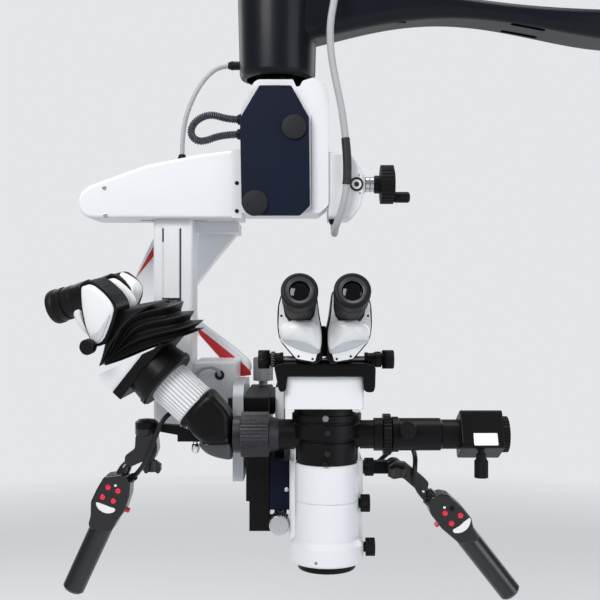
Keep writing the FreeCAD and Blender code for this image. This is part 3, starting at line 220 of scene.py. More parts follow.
def finish_of(name, colour, rough, grain=900.0, depth=0.00002, tone=0.06, wear=0.3, worn=(0.5, 0.5, 0.5),
              edge=0.0006, metallic=0.0, coat=0.0, dust=0.1, brushed=None, rough_change=0.12, specular=0.5):
    """One procedural finish: colour with a slow tone change, rubbed edges, dust, and grain in the bump."""
    material = bpy.data.materials.new(name)
    material.use_nodes = True
    material.diffuse_color = (*colour, 1)
    tree = material.node_tree
    shader = tree.nodes["Principled BSDF"]
    edges = use(tree, EDGE, width=edge, amount=wear)
    surface = use(tree, GRAIN, grain_scale=grain)
    dark = tuple(c * (1 - tone) for c in colour) + (1,)
    light = tuple(min(1, c * (1 + tone)) for c in colour) + (1,)
    shade = blend_colour(tree, surface.outputs["Tone"], dark, light)
    shade = blend_colour(tree, edges.outputs["Mask"], shade, (*worn, 1))
    if dust > 0:
        settled = use(tree, DUST, amount=dust)
        shade = blend_colour(tree, settled.outputs["Mask"], shade, DUST_TONE)
    tree.links.new(shade, shader.inputs["Base Color"])
    spread = maths(tree, "MULTIPLY", surface.outputs["Roughness"], rough_change)
    tree.links.new(maths(tree, "ADD", spread, rough - rough_change * 0.25, True),
                   shader.inputs["Roughness"])
    height = surface.outputs["Height"]
    if brushed:
        lines = use(tree, BRUSH, stretch=brushed)
        height = lines.outputs["Height"]
    bump = tree.nodes.new("ShaderNodeBump")
    bump.inputs["Distance"].default_value = depth
    bump.inputs["Strength"].default_value = 1.0
    tree.links.new(height, bump.inputs["Height"])
    tree.links.new(edges.outputs["Normal"], bump.inputs["Normal"])
    tree.links.new(bump.outputs[0], shader.inputs["Normal"])
    shader.inputs["Metallic"].default_value = metallic
    shader.inputs["Specular IOR Level"].default_value = specular
    shader.inputs["Coat Weight"].default_value = coat
    shader.inputs["Coat Roughness"].default_value = 0.12
    return material


WHITE = (0.80, 0.815, 0.845)
white_paint = finish_of("white_paint", WHITE, 0.34, grain=1500, depth=0.00001, tone=0.015, wear=0.05,
                        coat=0.25, dust=0.05, worn=(0.6, 0.6, 0.6))
white_plastic = finish_of("white_plastic", (0.83, 0.84, 0.86), 0.3, grain=1800, depth=0.000008, tone=0.012,
                          wear=0.04, coat=0.3, dust=0.04, worn=(0.65, 0.65, 0.65))
navy_paint = finish_of("navy_paint", (0.0035, 0.0048, 0.0095), 0.36, grain=1100, depth=0.00003, tone=0.2,
                       wear=0.2, worn=(0.07, 0.08, 0.1), coat=0.05, dust=0.01, specular=0.18)
plate_paint = finish_of("plate_paint", (0.005, 0.0085, 0.024), 0.55, grain=1600, depth=0.00003, tone=0.25,
                        wear=0.25, worn=(0.06, 0.07, 0.1), dust=0.01, specular=0.14)
black_cast = finish_of("black_cast", (0.003, 0.003, 0.0036), 0.38, grain=1300, depth=0.00003, tone=0.25,
                       wear=0.3, worn=(0.06, 0.06, 0.065), coat=0.02, dust=0.008, specular=0.16)
black_plastic = finish_of("black_plastic", (0.0035, 0.0035, 0.004), 0.42, grain=2200, depth=0.00003,
                          tone=0.2, wear=0.2, worn=(0.04, 0.04, 0.044), dust=0.008, specular=0.18)
grip_black = finish_of("grip_black", (0.004, 0.004, 0.0048), 0.3, grain=2200, depth=0.00002, tone=0.2,
                       wear=0.2, worn=(0.05, 0.05, 0.055), coat=0.25, dust=0.008, specular=0.5)
eye_rubber = finish_of("eye_rubber", (0.0045, 0.0045, 0.005), 0.5, grain=2600, depth=0.00003, tone=0.2,
                       wear=0.1, worn=(0.03, 0.03, 0.03), dust=0.015, specular=0.22)
fold_leather = finish_of("fold_leather", (0.0035, 0.0038, 0.0045), 0.45, grain=1400, depth=0.0001, tone=0.3,
                         wear=0.3, worn=(0.04, 0.04, 0.045), dust=0.02, edge=0.0012, specular=0.3)
anodised = finish_of("anodised", (0.028, 0.025, 0.033), 0.4, metallic=0.5, grain=2500, depth=0.00002,
                     tone=0.15, wear=0.4, worn=(0.4, 0.4, 0.42), dust=0.05)
ribbed_grey = finish_of("ribbed_grey", (0.22, 0.225, 0.235), 0.42, metallic=0.5, grain=2000, depth=0.00002,
                        tone=0.1, wear=0.4, worn=(0.6, 0.6, 0.6), dust=0.05)
steel = finish_of("steel", (0.62, 0.63, 0.65), 0.24, metallic=1.0, brushed=(400.0, 400.0, 6000.0),
                  depth=0.00001, tone=0.06, wear=0.2, worn=(0.8, 0.8, 0.8), dust=0.03)
chrome = finish_of("chrome", (0.78, 0.79, 0.8), 0.1, metallic=1.0, depth=0.000004, tone=0.02, wear=0.0,
                   dust=0.02, rough_change=0.04)
plate_grey = finish_of("plate_grey", (0.5, 0.53, 0.56), 0.36, grain=1300, depth=0.00001, tone=0.05,
                       wear=0.2, worn=(0.7, 0.7, 0.7), coat=0.15)
cap_grey = finish_of("cap_grey", (0.009, 0.011, 0.015), 0.6, grain=700, depth=0.00008, tone=0.3, wear=0.15,
                     worn=(0.06, 0.06, 0.06), dust=0.04, specular=0.3)
red_paint = finish_of("red_paint", (0.55, 0.018, 0.025), 0.45, grain=1300, depth=0.00002, tone=0.12,
                      wear=0.2, worn=(0.7, 0.3, 0.3), dust=0.05)
red_button = finish_of("red_button", (0.72, 0.02, 0.055), 0.25, grain=1200, depth=0.00001, tone=0.05,
                       wear=0.15, worn=(0.8, 0.3, 0.3), coat=0.5, dust=0.02)
hose_grey = finish_of("hose_grey", (0.42, 0.43, 0.45), 0.45, grain=900, depth=0.00003, tone=0.08, wear=0.0,
                      dust=0.08)
cable_black = finish_of("cable_black", (0.008, 0.008, 0.009), 0.4, grain=900, depth=0.00004, tone=0.2,
                        wear=0.0, dust=0.02, specular=0.35)
conduit_grey = finish_of("conduit_grey", (0.045, 0.052, 0.068), 0.3, metallic=0.45, grain=1200,
                         depth=0.00002, tone=0.12, wear=0.5, worn=(0.35, 0.36, 0.4), dust=0.06, edge=0.0004)
tape_black = finish_of("tape_black", (0.008, 0.008, 0.009), 0.55, grain=500, depth=0.00015, tone=0.3,
                       wear=0.2, worn=(0.1, 0.1, 0.1), dust=0.1)
# Near-black for dark screw heads, rings and pads; also painted shade in gaps and holes.
dark_and_gap_shade = finish_of("dark_and_gap_shade", (0.01, 0.01, 0.011), 0.7, depth=0.00002, wear=0.0, dust=0.0)
label_white = finish_of("label_white", (0.84, 0.845, 0.85), 0.5, grain=900, depth=0.00001, tone=0.02,
                        wear=0.1, worn=(0.6, 0.6, 0.58), dust=0.05)
# Painted shade: grey for the down-facing cut facets of the white domes and covers.
crescent_painted_shade = finish_of("crescent_painted_shade", (0.6, 0.62, 0.66), 0.3, grain=1500, depth=0.00001, tone=0.03,
                          wear=0.05, worn=(0.5, 0.5, 0.5), coat=0.3)
dish_grey = finish_of("dish_grey", (0.03, 0.034, 0.038), 0.4, grain=1500, depth=0.00001, tone=0.1, wear=0.1,
                      worn=(0.1, 0.1, 0.1), dust=0.02)
scale_white = finish_of("scale_white", (0.35, 0.35, 0.35), 0.5, grain=900, depth=0.00001, tone=0.1,
                        wear=0.0, dust=0.0)
casting_grey = finish_of("casting_grey", (0.05, 0.052, 0.057), 0.34, grain=1300, depth=0.00002, tone=0.15,
                         wear=0.2, worn=(0.2, 0.2, 0.2), dust=0.02)
# Painted shade: grey for the dark lines in the grooves of the white barrel.
groove_painted_shade = finish_of("groove_painted_shade", (0.22, 0.225, 0.235), 0.5, grain=900, depth=0.00001, tone=0.1,
                        wear=0.0, dust=0.0)


def make_lens():
    """Coated glass: dark inside, with a faint purple bloom."""
    material = finish_of("coated_lens", (0.002, 0.0015, 0.004), 0.05, depth=0.000001, tone=0.3, wear=0.0,
                         dust=0.0, coat=0.12, rough_change=0.02, specular=0.25)
    shader = material.node_tree.nodes["Principled BSDF"]
    shader.inputs["Coat Roughness"].default_value = 0.02
    shader.inputs["Coat Tint"].default_value = (0.75, 0.65, 1.0, 1)
    return material


coated_lens = make_lens()

# CAD nodes that stay in view, by finish
DRESSED = (
    (navy_paint, "arm_casting"),
    (black_cast, "head_spindle stack_rings slide_block objective_ring video_tube handle_bar_l handle_arm_r"),
    (black_cast, "bino_yoke prism_l prism_r obs_prism obs_adapter obs_near obs_far"),
    (white_paint, "head_housing beam_cover beam_end carriage_post link_arm tilt_block"),
    (white_paint, "optics_body bino_base obs_barrel"),
    (plate_paint, "front_plate mount_plate"),
    (steel, "beam_rail a_knob"),
    (plate_grey, "tilt_plate"),
    (ribbed_grey, "b_knob"),
    (anodised, "obs_ring"),
    (black_plastic, "c_wheel light_knob zoom_knob focus_knob bino_knobs eyepiece_l eyepiece_r"),
    (black_plastic, "video_lock video_knob"),
    (grip_black, "grip_l grip_r wing_l wing_r"),
    (coated_lens, "objective_lens"),
    (red_button, "button_l1 button_l2 button_l3 button_l4 button_l5"),
    (red_button, "button_r1 button_r2 button_r3 button_r4"),
    (fold_leather, "obs_bellows"),
    (cable_black, "cable_l cable_r"),
    (hose_grey, "arm_hose beam_cable"),
    (conduit_grey, "conduit_loop"),
)
for material, names in DRESSED:
    for name in names.split():
        NODES[name].data.materials.clear()
        NODES[name].data.materials.append(material)


# Mesh makers

def new_piece(name, mesh, material, body):
    """Link a finished mesh as a piece that rides on a body."""
    mesh.materials.clear()
    mesh.materials.append(material)
    mesh.polygons.foreach_set("use_smooth", [True] * len(mesh.polygons))
    piece = bpy.data.objects.new(name, mesh)
    bpy.context.scene.collection.objects.link(piece)
    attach(piece, body)
    return piece


def sharp_by_angle(mesh, degrees=32):
    """Mark the edges that stay crisp."""
    bm = bmesh.new()
    bm.from_mesh(mesh)
    limit = math.radians(degrees)
    for edge in bm.edges:
        if len(edge.link_faces) == 2:
            edge.smooth = edge.calc_face_angle() < limit
    bm.to_mesh(mesh)
    bm.free()


def mesh_of(name, points, faces, crisp=32):
    """Closed mesh from points in millimetres of the microscope's frame."""
    mesh = bpy.data.meshes.new(name)
    mesh.from_pydata([at(*p) for p in points], [], faces)
    bm = bmesh.new()
    bm.from_mesh(mesh)
    bmesh.ops.remove_doubles(bm, verts=bm.verts, dist=1e-7)
    bmesh.ops.recalc_face_normals(bm, faces=bm.faces)
    bm.to_mesh(mesh)
    bm.free()
    sharp_by_angle(mesh, crisp)
    return mesh


def axes_from(axis):
    """Two directions across an axis."""
    axis = Vector(axis).normalized()
    side = axis.cross(EZ if abs(axis.z) < 0.9 else EX).normalized()
    return axis, side, axis.cross(side).normalized()


def turned(name, profile, start, axis, material, body, steps=64, crisp=32):
    """Turned piece from (radius, distance) pairs in millimetres; a first or last radius of 0 closes it."""
    start = Vector(start)
    axis, u, v = axes_from(axis)
    points, faces, rings = [], [], []
    for radius, along in profile:
        if radius < 1e-6:
            rings.append([len(points)])
            points.append(start + axis * along)
            continue
        ring = []
        for i in range(steps):
            a = 2 * math.pi * i / steps
            ring.append(len(points))
            points.append(start + axis * along + (u * math.cos(a) + v * math.sin(a)) * radius)
        rings.append(ring)
    for low, high in zip(rings, rings[1:]):
        for i in range(steps):
            j = (i + 1) % steps
            if len(low) == 1:
                faces.append((low[0], high[j], high[i]))
            elif len(high) == 1:
                faces.append((low[i], low[j], high[0]))
            else:
                faces.append((low[i], low[j], high[j], high[i]))
    if len(rings[0]) > 1 and len(rings[-1]) > 1:
        low, high = rings[-1], rings[0]
        faces += [(low[i], low[(i + 1) % steps], high[(i + 1) % steps], high[i]) for i in range(steps)]
    return new_piece(name, mesh_of(name, points, faces, crisp), material, body)


def smooth_outline(points, count):
    """Closed curve through the points, sampled evenly by its parameter."""
    n = len(points)
    found = []
    for i in range(count):
        t = i * n / count
        k = int(t)
        f = t - k
        a, b, c, d = (Vector(points[(k + j) % n]) for j in (-1, 0, 1, 2))
        bend = (2 * a - 5 * b + 4 * c - d) * f * f
        found.append(0.5 * (2 * b + (c - a) * f + bend + (3 * b - a - 3 * c + d) * f ** 3))
    return found


def rounded_corners(points, radius, steps=5):
    """Closed 2-D outline with each corner replaced by a short arc."""
    n = len(points)
    found = []
    for i in range(n):
        p = Vector(points[i])
        a = Vector(points[i - 1]) - p
        b = Vector(points[(i + 1) % n]) - p
        r = radius[i] if isinstance(radius, (list, tuple)) else radius
        cut = min(r, 0.45 * a.length, 0.45 * b.length)
        a = p + a.normalized() * cut
        b = p + b.normalized() * cut
        for k in range(steps + 1):
            t = k / steps
            found.append(a * (1 - t) ** 2 + p * 2 * t * (1 - t) + b * t * t)
    return found


def rounded_box(x0, x1, z0, z1, radius):
    """Rectangle with rounded corners, drawn from (x0, z0)."""
    return rounded_corners([(x0, z0), (x1, z0), (x1, z1), (x0, z1)], radius)


def slab(name, outline, place, thick, material, body, chamfer=0.6, crisp=32):
    """Flat piece with a small chamfer on its front; place(a, b, c) gives a point at depth c."""
    n = len(outline)
    middle = sum((Vector(p) for p in outline), Vector((0, 0))) / n
    levels = ((1.0, 0.0), (1.0, thick - chamfer), (None, thick))
    points, faces = [], []
    for keep, depth in levels:
        for p in outline:
            q = Vector(p)
            if keep is None:
                q = q + (middle - q).normalized() * chamfer
            points.append(place(q.x, q.y, depth))
    for level in (0, 1):
        for i in range(n):
            j = (i + 1) % n
            faces.append((level * n + i, level * n + j, (level + 1) * n + j, (level + 1) * n + i))
    faces.append(tuple(range(n - 1, -1, -1)))
    faces.append(tuple(range(2 * n, 3 * n)))
    return new_piece(name, mesh_of(name, points, faces, crisp), material, body)


def front(y):
    """Placer for pieces on a face that looks at the surgeon, at depth y."""
    return lambda a, b, c: Vector((a, y - c, b))


def pillow(name, outline, middle, place, front_height, back_height, material, body, rings=12,
           crisp=40):
    """Closed cushion-like cover: the outline closed by a raised front and a raised back."""
    n = len(outline)
    middle = Vector(middle)
    points, faces, rows = [], [], []
    for height, order in ((back_height, range(1, rings + 1)), (front_height, range(rings, 0, -1))):
        for j in order:
            t = j / rings
            rows.append(len(points))
            for p in outline:
                q = middle + (Vector(p) - middle) * t
                points.append(place(q.x, q.y, height(t)))
    for low, high in zip(rows, rows[1:]):
        for i in range(n):
            j = (i + 1) % n
            faces.append((low + i, low + j, high + j, high + i))
    for row, height in ((rows[0], back_height), (rows[-1], front_height)):
        points.append(place(middle.x, middle.y, height(0.0)))
        hub = len(points) - 1
        faces += [(row + i, row + (i + 1) % n, hub) for i in range(n)]
    return new_piece(name, mesh_of(name, points, faces, crisp), material, body)


def domed(height, power, root=0.5, base=0.0):
    """Height of a pillow from its middle (0) to its outline (1)."""
    return lambda t: base + height * max(0.0, 1 - t ** power) ** root


# Cords and hoses, as the part routes them

def route_curve(name, route):
    """Smooth spline that follows route points given in millimetres."""
    curve = bpy.data.curves.new(name, "CURVE")
    curve.dimensions = "3D"
    curve.resolution_u = 12
    spline = curve.splines.new("NURBS")
    spline.points.add(len(route) - 1)
    for point, place in zip(spline.points, route):
        point.co = (*at(*place), 1)
    spline.order_u = 3
    spline.use_endpoint_u = True
    return curve


def cord(name, route, radius, material, body, slot, node_name, length, exit_at=0, **facts):
    """Cord along the part's own route points; the length given to it is not used."""
    curve = route_curve(name, route)
    curve.bevel_depth = mm(radius)
    curve.bevel_resolution = 6
    curve.use_fill_caps = True
    curve.materials.append(material)
    piece = bpy.data.objects.new(name, curve)
    bpy.context.scene.collection.objects.link(piece)
    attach(piece, body)
    if node_name:
        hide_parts(node_name)
    return piece


def spline_points(route):
    """Points read from the smooth spline of a route, in metres."""
    holder = bpy.data.objects.new("path", route_curve("path", route))
    mesh = bpy.data.meshes.new_from_object(holder)
    found = [v.co.copy() for v in mesh.vertices]
    bpy.data.objects.remove(holder)
    bpy.data.meshes.remove(mesh)
    return found


HOSE_R = 4.7
HOSE_ROUTE = [(47, 90, 404), (47, 75, 404), (44, 69, 384), (38, 70, 352), (39, 73, 318), (45, 75, 284),
              (53, 76, 248), (58, 77, 212), (61, 77, 176), (60, 77, 144), (54, 80, 116), (46, 88, 95),
              (45, 102, 85), (45, 113, 92), (45, 113, 106)]
BEAM_CABLE_R = 3.3
BEAM_CABLE_ROUTE = [(-90, 150, 318), (-108, 150, 318), (-127, 150, 304), (-143, 150, 280), (-155, 150, 250),
                    (-160, 150, 219), (-160, 150, 190)]
CONDUIT_R = 5.2
CONDUIT_ROUTE = [(-76, 130, 241), (-96, 130, 241), (-120, 128, 249), (-141, 125, 238), (-147, 123, 220),
                 (-133, 122, 208), (-104, 122, 220), (-76, 122, 220)]
HANDLE_CABLE_R = 3.0
LEFT_CABLE_ROUTE = [(-142, 45, -154), (-142, 45, -143), (-151, 35, -134), (-166, 25, -143),
                    (-175, 22, -162), (-182, 20, -181), (-190, 24, -200), (-200.86, 35.87, -213.86),
                    (-206.228, 40.705, -219.228)]
RIGHT_CABLE_ROUTE = [(77, 84, -214), (95, 84, -214), (112, 75, -196), (127, 60, -180), (138, 42, -179),
                     (142, 25, -192), (139, 14, -209), (141.63, 18.654, -231.632),
                     (154.557, 23.823, -244.557)]
cord("hose_outer", HOSE_ROUTE, HOSE_R, hose_grey, "head", "hose_grey", "arm_hose", 370.2, lay="hanging",
                stiffness="stiff")
cord("beam_cable_outer", BEAM_CABLE_ROUTE, BEAM_CABLE_R, hose_grey, "head", "hose_grey", "beam_cable",
     162.1, lay="hanging", stiffness="stiff")
cord("left_cable_outer", LEFT_CABLE_ROUTE, HANDLE_CABLE_R, cable_black, "handle_l", "cable_black",
     "cable_l", 136.7, lay="hanging", stiffness="medium")
cord("right_cable_outer", RIGHT_CABLE_ROUTE, HANDLE_CABLE_R, cable_black, "handle_r", "cable_black",
     "cable_r", 171.8, lay="hanging", stiffness="medium")


# Geometry Nodes

def node_tree(name, inputs):
    tree = bpy.data.node_groups.new(name, "GeometryNodeTree")
    tree.interface.new_socket(name="Geometry", in_out="INPUT", socket_type="NodeSocketGeometry")
    for label, kind, value in inputs:
        socket = tree.interface.new_socket(name=label, in_out="INPUT", socket_type=kind)
        if value is not None:
            socket.default_value = value
    tree.interface.new_socket(name="Geometry", in_out="OUTPUT", socket_type="NodeSocketGeometry")
    return tree, tree.nodes.new("NodeGroupInput"), tree.nodes.new("NodeGroupOutput")


def end_tree(tree, geometry, gin, gout):
    """Every tree ends the same way: real geometry with its material."""
    real = tree.nodes.new("GeometryNodeRealizeInstances")
    paint = tree.nodes.new("GeometryNodeSetMaterial")
    tree.links.new(geometry, real.inputs[0])
    tree.links.new(real.outputs[0], paint.inputs["Geometry"])
    tree.links.new(gin.outputs["Material"], paint.inputs["Material"])
    tree.links.new(paint.outputs[0], gout.inputs[0])


def make_scatter_tree():
    """A copy of the pattern piece on every point, its Z along the point's axis."""
    tree, gin, gout = node_tree("pieces_on_points", [("Pattern", "NodeSocketObject", None),
                                                     ("Scale", "NodeSocketFloat", 1.0),
                                                     ("Material", "NodeSocketMaterial", None)])
    link = tree.links.new
    info = tree.nodes.new("GeometryNodeObjectInfo")
    link(gin.outputs["Pattern"], info.inputs[0])
    copies = tree.nodes.new("GeometryNodeInstanceOnPoints")
    axis = tree.nodes.new("GeometryNodeInputNamedAttribute")
    axis.data_type = "FLOAT_VECTOR"
    axis.inputs["Name"].default_value = "axis"
    spin = tree.nodes.new("GeometryNodeInputNamedAttribute")
    spin.data_type = "FLOAT_VECTOR"
    spin.inputs["Name"].default_value = "across"
    align = tree.nodes.new("FunctionNodeAlignRotationToVector")
    align.axis = "X"
    link(spin.outputs[0], align.inputs["Vector"])
    upright = tree.nodes.new("FunctionNodeAlignRotationToVector")
    upright.axis = "Z"
    upright.pivot_axis = "X"
    link(align.outputs[0], upright.inputs["Rotation"])
    link(axis.outputs[0], upright.inputs["Vector"])
    link(gin.outputs["Geometry"], copies.inputs["Points"])
    link(info.outputs["Geometry"], copies.inputs["Instance"])
    link(upright.outputs[0], copies.inputs["Rotation"])
    link(gin.outputs["Scale"], copies.inputs["Scale"])
    end_tree(tree, copies.outputs[0], gin, gout)
    return tree


def make_ring_hose_tree():
    """Corrugated hose: a round rib on every step of a path, and the core inside them."""
    tree, gin, gout = node_tree("corrugated_hose", [("Core Radius", "NodeSocketFloat", 0.004),
                                                    ("Rib Radius", "NodeSocketFloat", 0.001),
                                                    ("Pitch", "NodeSocketFloat", 0.0026),
                                                    ("Material", "NodeSocketMaterial", None)])
    link = tree.links.new
    path = tree.nodes.new("GeometryNodeMeshToCurve")
    link(gin.outputs["Geometry"], path.inputs[0])
    steps = tree.nodes.new("GeometryNodeResampleCurve")
    steps.mode = "LENGTH"
    link(path.outputs[0], steps.inputs["Curve"])
    link(gin.outputs["Pitch"], steps.inputs["Length"])
    ring_path = tree.nodes.new("GeometryNodeCurvePrimitiveCircle")
    ring_path.inputs["Resolution"].default_value = 24
    link(gin.outputs["Core Radius"], ring_path.inputs["Radius"])
    ring_section = tree.nodes.new("GeometryNodeCurvePrimitiveCircle")
    ring_section.inputs["Resolution"].default_value = 8
    link(gin.outputs["Rib Radius"], ring_section.inputs["Radius"])
    ring = tree.nodes.new("GeometryNodeCurveToMesh")
    link(ring_path.outputs[0], ring.inputs["Curve"])
    link(ring_section.outputs[0], ring.inputs["Profile Curve"])
    points = tree.nodes.new("GeometryNodeCurveToPoints")
    points.mode = "EVALUATED"
    link(steps.outputs[0], points.inputs["Curve"])
    copies = tree.nodes.new("GeometryNodeInstanceOnPoints")
    link(points.outputs["Points"], copies.inputs["Points"])
    link(ring.outputs[0], copies.inputs["Instance"])
    link(points.outputs["Rotation"], copies.inputs["Rotation"])
    core_section = tree.nodes.new("GeometryNodeCurvePrimitiveCircle")
    core_section.inputs["Resolution"].default_value = 24
    link(gin.outputs["Core Radius"], core_section.inputs["Radius"])
    core = tree.nodes.new("GeometryNodeCurveToMesh")
    core.inputs["Fill Caps"].default_value = True
    link(path.outputs[0], core.inputs["Curve"])
    link(core_section.outputs[0], core.inputs["Profile Curve"])
    both = tree.nodes.new("GeometryNodeJoinGeometry")
    link(copies.outputs[0], both.inputs[0])
    link(core.outputs[0], both.inputs[0])
    end_tree(tree, both.outputs[0], gin, gout)
    return tree


SCATTER = make_scatter_tree()
RING_HOSE = make_ring_hose_tree()


def grown(name, tree, start_mesh, body, slot, **values):
    """Run a tree on a mesh and keep the result as a plain piece."""
    holder = bpy.data.objects.new(name + "_start", start_mesh)
    bpy.context.scene.collection.objects.link(holder)
    modifier = holder.modifiers.new("tree", "NODES")
    modifier.node_group = tree
    sockets = {item.name: item.identifier for item in tree.interface.items_tree if item.in_out == "INPUT"}
    for key, value in values.items():
        modifier[sockets[key.replace("_", " ").title()]] = value
    depsgraph = bpy.context.evaluated_depsgraph_get()
    mesh = bpy.data.meshes.new_from_object(holder.evaluated_get(depsgraph), depsgraph=depsgraph)
    holder.modifiers.clear()
    bpy.data.objects.remove(holder)
    mesh.name = name
    for attribute in ("axis", "across"):
        if attribute in mesh.attributes:
            mesh.attributes.remove(mesh.attributes[attribute])
    sharp_by_angle(mesh)
    return new_piece(name, mesh, values["material"], body)


def pattern(name, mesh):
    """Pattern object for the scatter tree; its maker removes it once it has been copied."""
    piece = bpy.data.objects.new(name, mesh)
    bpy.context.scene.collection.objects.link(piece)
    return piece


def point_mesh(name, spots):
    """Loose points with an axis and an across direction; spots are (place in mm, axis, across)."""
    mesh = bpy.data.meshes.new(name)
    mesh.from_pydata([at(*place) for place, _, _ in spots], [], [])
    for label, k in (("axis", 1), ("across", 2)):
        data = mesh.attributes.new(label, "FLOAT_VECTOR", "POINT")
        for i, spot in enumerate(spots):
            data.data[i].vector = Vector(spot[k])
    return mesh


def screw_mesh(name, radius, height, socket, sides):
    """Screw head with a chamfered rim and a recessed socket, base at zero, in millimetres."""
    bm = bmesh.new()
    steps = 24
    rows = ((radius, 0.0, steps), (radius, height * 0.7, steps), (radius * 0.86, height, steps),
            (socket, height, sides), (socket, height * 0.35, sides))
    made = []
    for r, z, count in rows:
        ring = []
        for i in range(steps):
            a = 2 * math.pi * i / steps
            if count == steps:
                rr = r
            else:
                sector = 2 * math.pi / count
                rr = r * math.cos(sector / 2) / math.cos((a % sector) - sector / 2)
            ring.append(bm.verts.new((mm(rr * math.cos(a)), mm(rr * math.sin(a)), mm(z))))
        made.append(ring)
    for low, high in zip(made, made[1:]):
        for i in range(steps):
            bm.faces.new((low[i], low[(i + 1) % steps], high[(i + 1) % steps], high[i]))
    bm.faces.new(list(reversed(made[0])))
    bm.faces.new(made[-1])
    mesh = bpy.data.meshes.new(name)
    bm.to_mesh(mesh)
    bm.free()
    return mesh


def screws(name, spots, radius, height, material, body, slot, socket=0.5, sides=6):
    head = pattern("head_pattern", screw_mesh("head_pattern", radius, height, radius * socket, sides))
    piece = grown(name, SCATTER, point_mesh(name, spots), body, slot, pattern=head, scale=1.0,
                  material=material)
    bpy.data.objects.remove(head)
    return piece


def on_front(y, spots):
    """Screw places on a face at depth y that looks at the surgeon."""
    return [((x, y, z), -EY, EX) for x, z in spots]


def path_mesh(name, points):
    mesh = bpy.data.meshes.new(name)
    mesh.from_pydata(points, [(i, i + 1) for i in range(len(points) - 1)], [])
    return mesh


CONDUIT_PATH = spline_points(CONDUIT_ROUTE)
RIB_R = 1.3
conduit = grown("conduit_ribbed", RING_HOSE, path_mesh("conduit_path", CONDUIT_PATH), "head", "cable_black",
                core_radius=mm(CONDUIT_R - RIB_R), rib_radius=mm(RIB_R), pitch=0.0028,
                material=conduit_grey)
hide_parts("conduit_loop")


# Head and cross beam
BEAM_FRONT = 90.0
PLATE_FRONT = 75.0
CHEEK_FRONT = 87.2
for tag, x, z, r in (("upper", -7.7, 221, 15.9), ("lower", -57.5, 124, 16.5)):
    turned("plate_cap_" + tag, [(0, 0.2), (r, 0.2), (r, 2.6), (r - 0.5, 3.4), (r - 2, 3.8), (r * 0.5, 4.3),
                                (0, 4.4)], (x, PLATE_FRONT, z), -EY, cap_grey, "head")
screws("plate_screws", on_front(PLATE_FRONT + 3.4, [(-48.6, 268.6), (-19, 270)]), 2.4, 2.4, dark_and_gap_shade,
       "head", "black_metal")
screws("cover_screws", on_front(BEAM_FRONT + 0.2, [(-253.1, 145), (-251.8, 109.4)]), 2.9, 1.0, steel,
       "head", "steel", socket=0.35, sides=4)
screws("cheek_screws", on_front(CHEEK_FRONT, [(-81.6, 151.1), (-81.6, 114.9)]), 2.7, 1.1, plate_paint,
       "head", "plate_navy")
screws("end_screws", on_front(BEAM_FRONT + 0.1, [(76.6, 161.6), (77.6, 138.6)]), 1.5, 0.7, steel, "head",
       "steel", socket=0.4, sides=4)
BADGE = (73.4, BEAM_FRONT + 0.2, 150)
turned("badge_ring", [(6.3, 0), (8.9, 0), (8.9, 0.9), (8.5, 1.3), (6.8, 1.3), (6.3, 0.9)], BADGE, -EY,
       dark_and_gap_shade, "head")
turned("badge_dot", [(0, 0), (3.2, 0), (3.2, 0.8), (2.8, 1.1), (0, 1.1)], BADGE, -EY, dark_and_gap_shade, "head")
turned("badge_face", [(0, 0), (6.4, 0), (6.4, 0.5), (0, 0.5)], BADGE, -EY, label_white, "head")
SCREW_Z = 154.0
BEAM_MID = 128.0
WHEEL_X = 86.3
turned("wheel_collar", [(9.6, 0.4), (10.0, 0.8), (10.0, 6), (9.4, 6.6), (9.4, 7.4), (10.0, 8), (10.0, 11.6),
                        (9.6, 12)], (WHEEL_X, BEAM_MID, SCREW_Z), EX, steel, "beam_wheel")
turned("wheel_face", [(0, 0), (20, 0), (20.6, 0.4), (20.6, 1.0), (19.6, 1.6), (12, 1.6), (11, 0.9),
                      (0, 0.9)], (WHEEL_X + 38, BEAM_MID, SCREW_Z), EX, black_plastic, "beam_wheel")

# Glands where hoses enter
for tag, start, way, r, body in (("hose_top", (47, 88, 404), -EY, HOSE_R, "swing_arm"),
                                 ("hose_end", (45, 113, 107), -EZ, HOSE_R, "head"),
                                 ("cable_top", (-90, 150, 318), -EX, BEAM_CABLE_R, "swing_arm"),
                                 ("cable_end", (-160, 150, 190), EZ, BEAM_CABLE_R, "head"),
                                 ("conduit_upper", (-76, 130, 241), -EX, CONDUIT_R, "head"),
                                 ("conduit_lower", (-76, 122, 220), -EX, CONDUIT_R, "head")):
    turned("gland_" + tag, [(r + 0.25, 0), (r + 2.8, 0), (r + 2.8, 3), (r + 2.2, 3.6), (r + 1.4, 7),
                            (r + 0.25, 7.6)], start, way, black_plastic, body, steps=32)


def tube_mesh(name, points, radii, steps=28):
    """Tube along points in metres with its own radius at each, closed at both ends."""
    verts, faces = [], []
    n = len(points)
    side = None
    for i, p in enumerate(points):
        along = (points[min(i + 1, n - 1)] - points[max(i - 1, 0)]).normalized()
        if side is None:
            side = axes_from(along)[1]
        side = (side - along * side.dot(along)).normalized()
        up = along.cross(side)
        for k in range(steps):
            a = 2 * math.pi * k / steps
            verts.append(p + (side * math.cos(a) + up * math.sin(a)) * radii[i])
    for i in range(n - 1):
        for k in range(steps):
            j = (k + 1) % steps
            faces.append((i * steps + k, i * steps + j, (i + 1) * steps + j, (i + 1) * steps + k))
    faces.append(tuple(range(steps - 1, -1, -1)))
    faces.append(tuple(range((n - 1) * steps, n * steps)))
    mesh = bpy.data.meshes.new(name)
    mesh.from_pydata(verts, [], faces)
    bm = bmesh.new()
    bm.from_mesh(mesh)
    bmesh.ops.recalc_face_normals(bm, faces=bm.faces)
    bm.to_mesh(mesh)
    bm.free()
    sharp_by_angle(mesh, 50)
    return mesh


HOSE_PATH = spline_points(HOSE_ROUTE)
TAPE_LOW, TAPE_HIGH = at(0, 0, 145).z, at(0, 0, 208).z


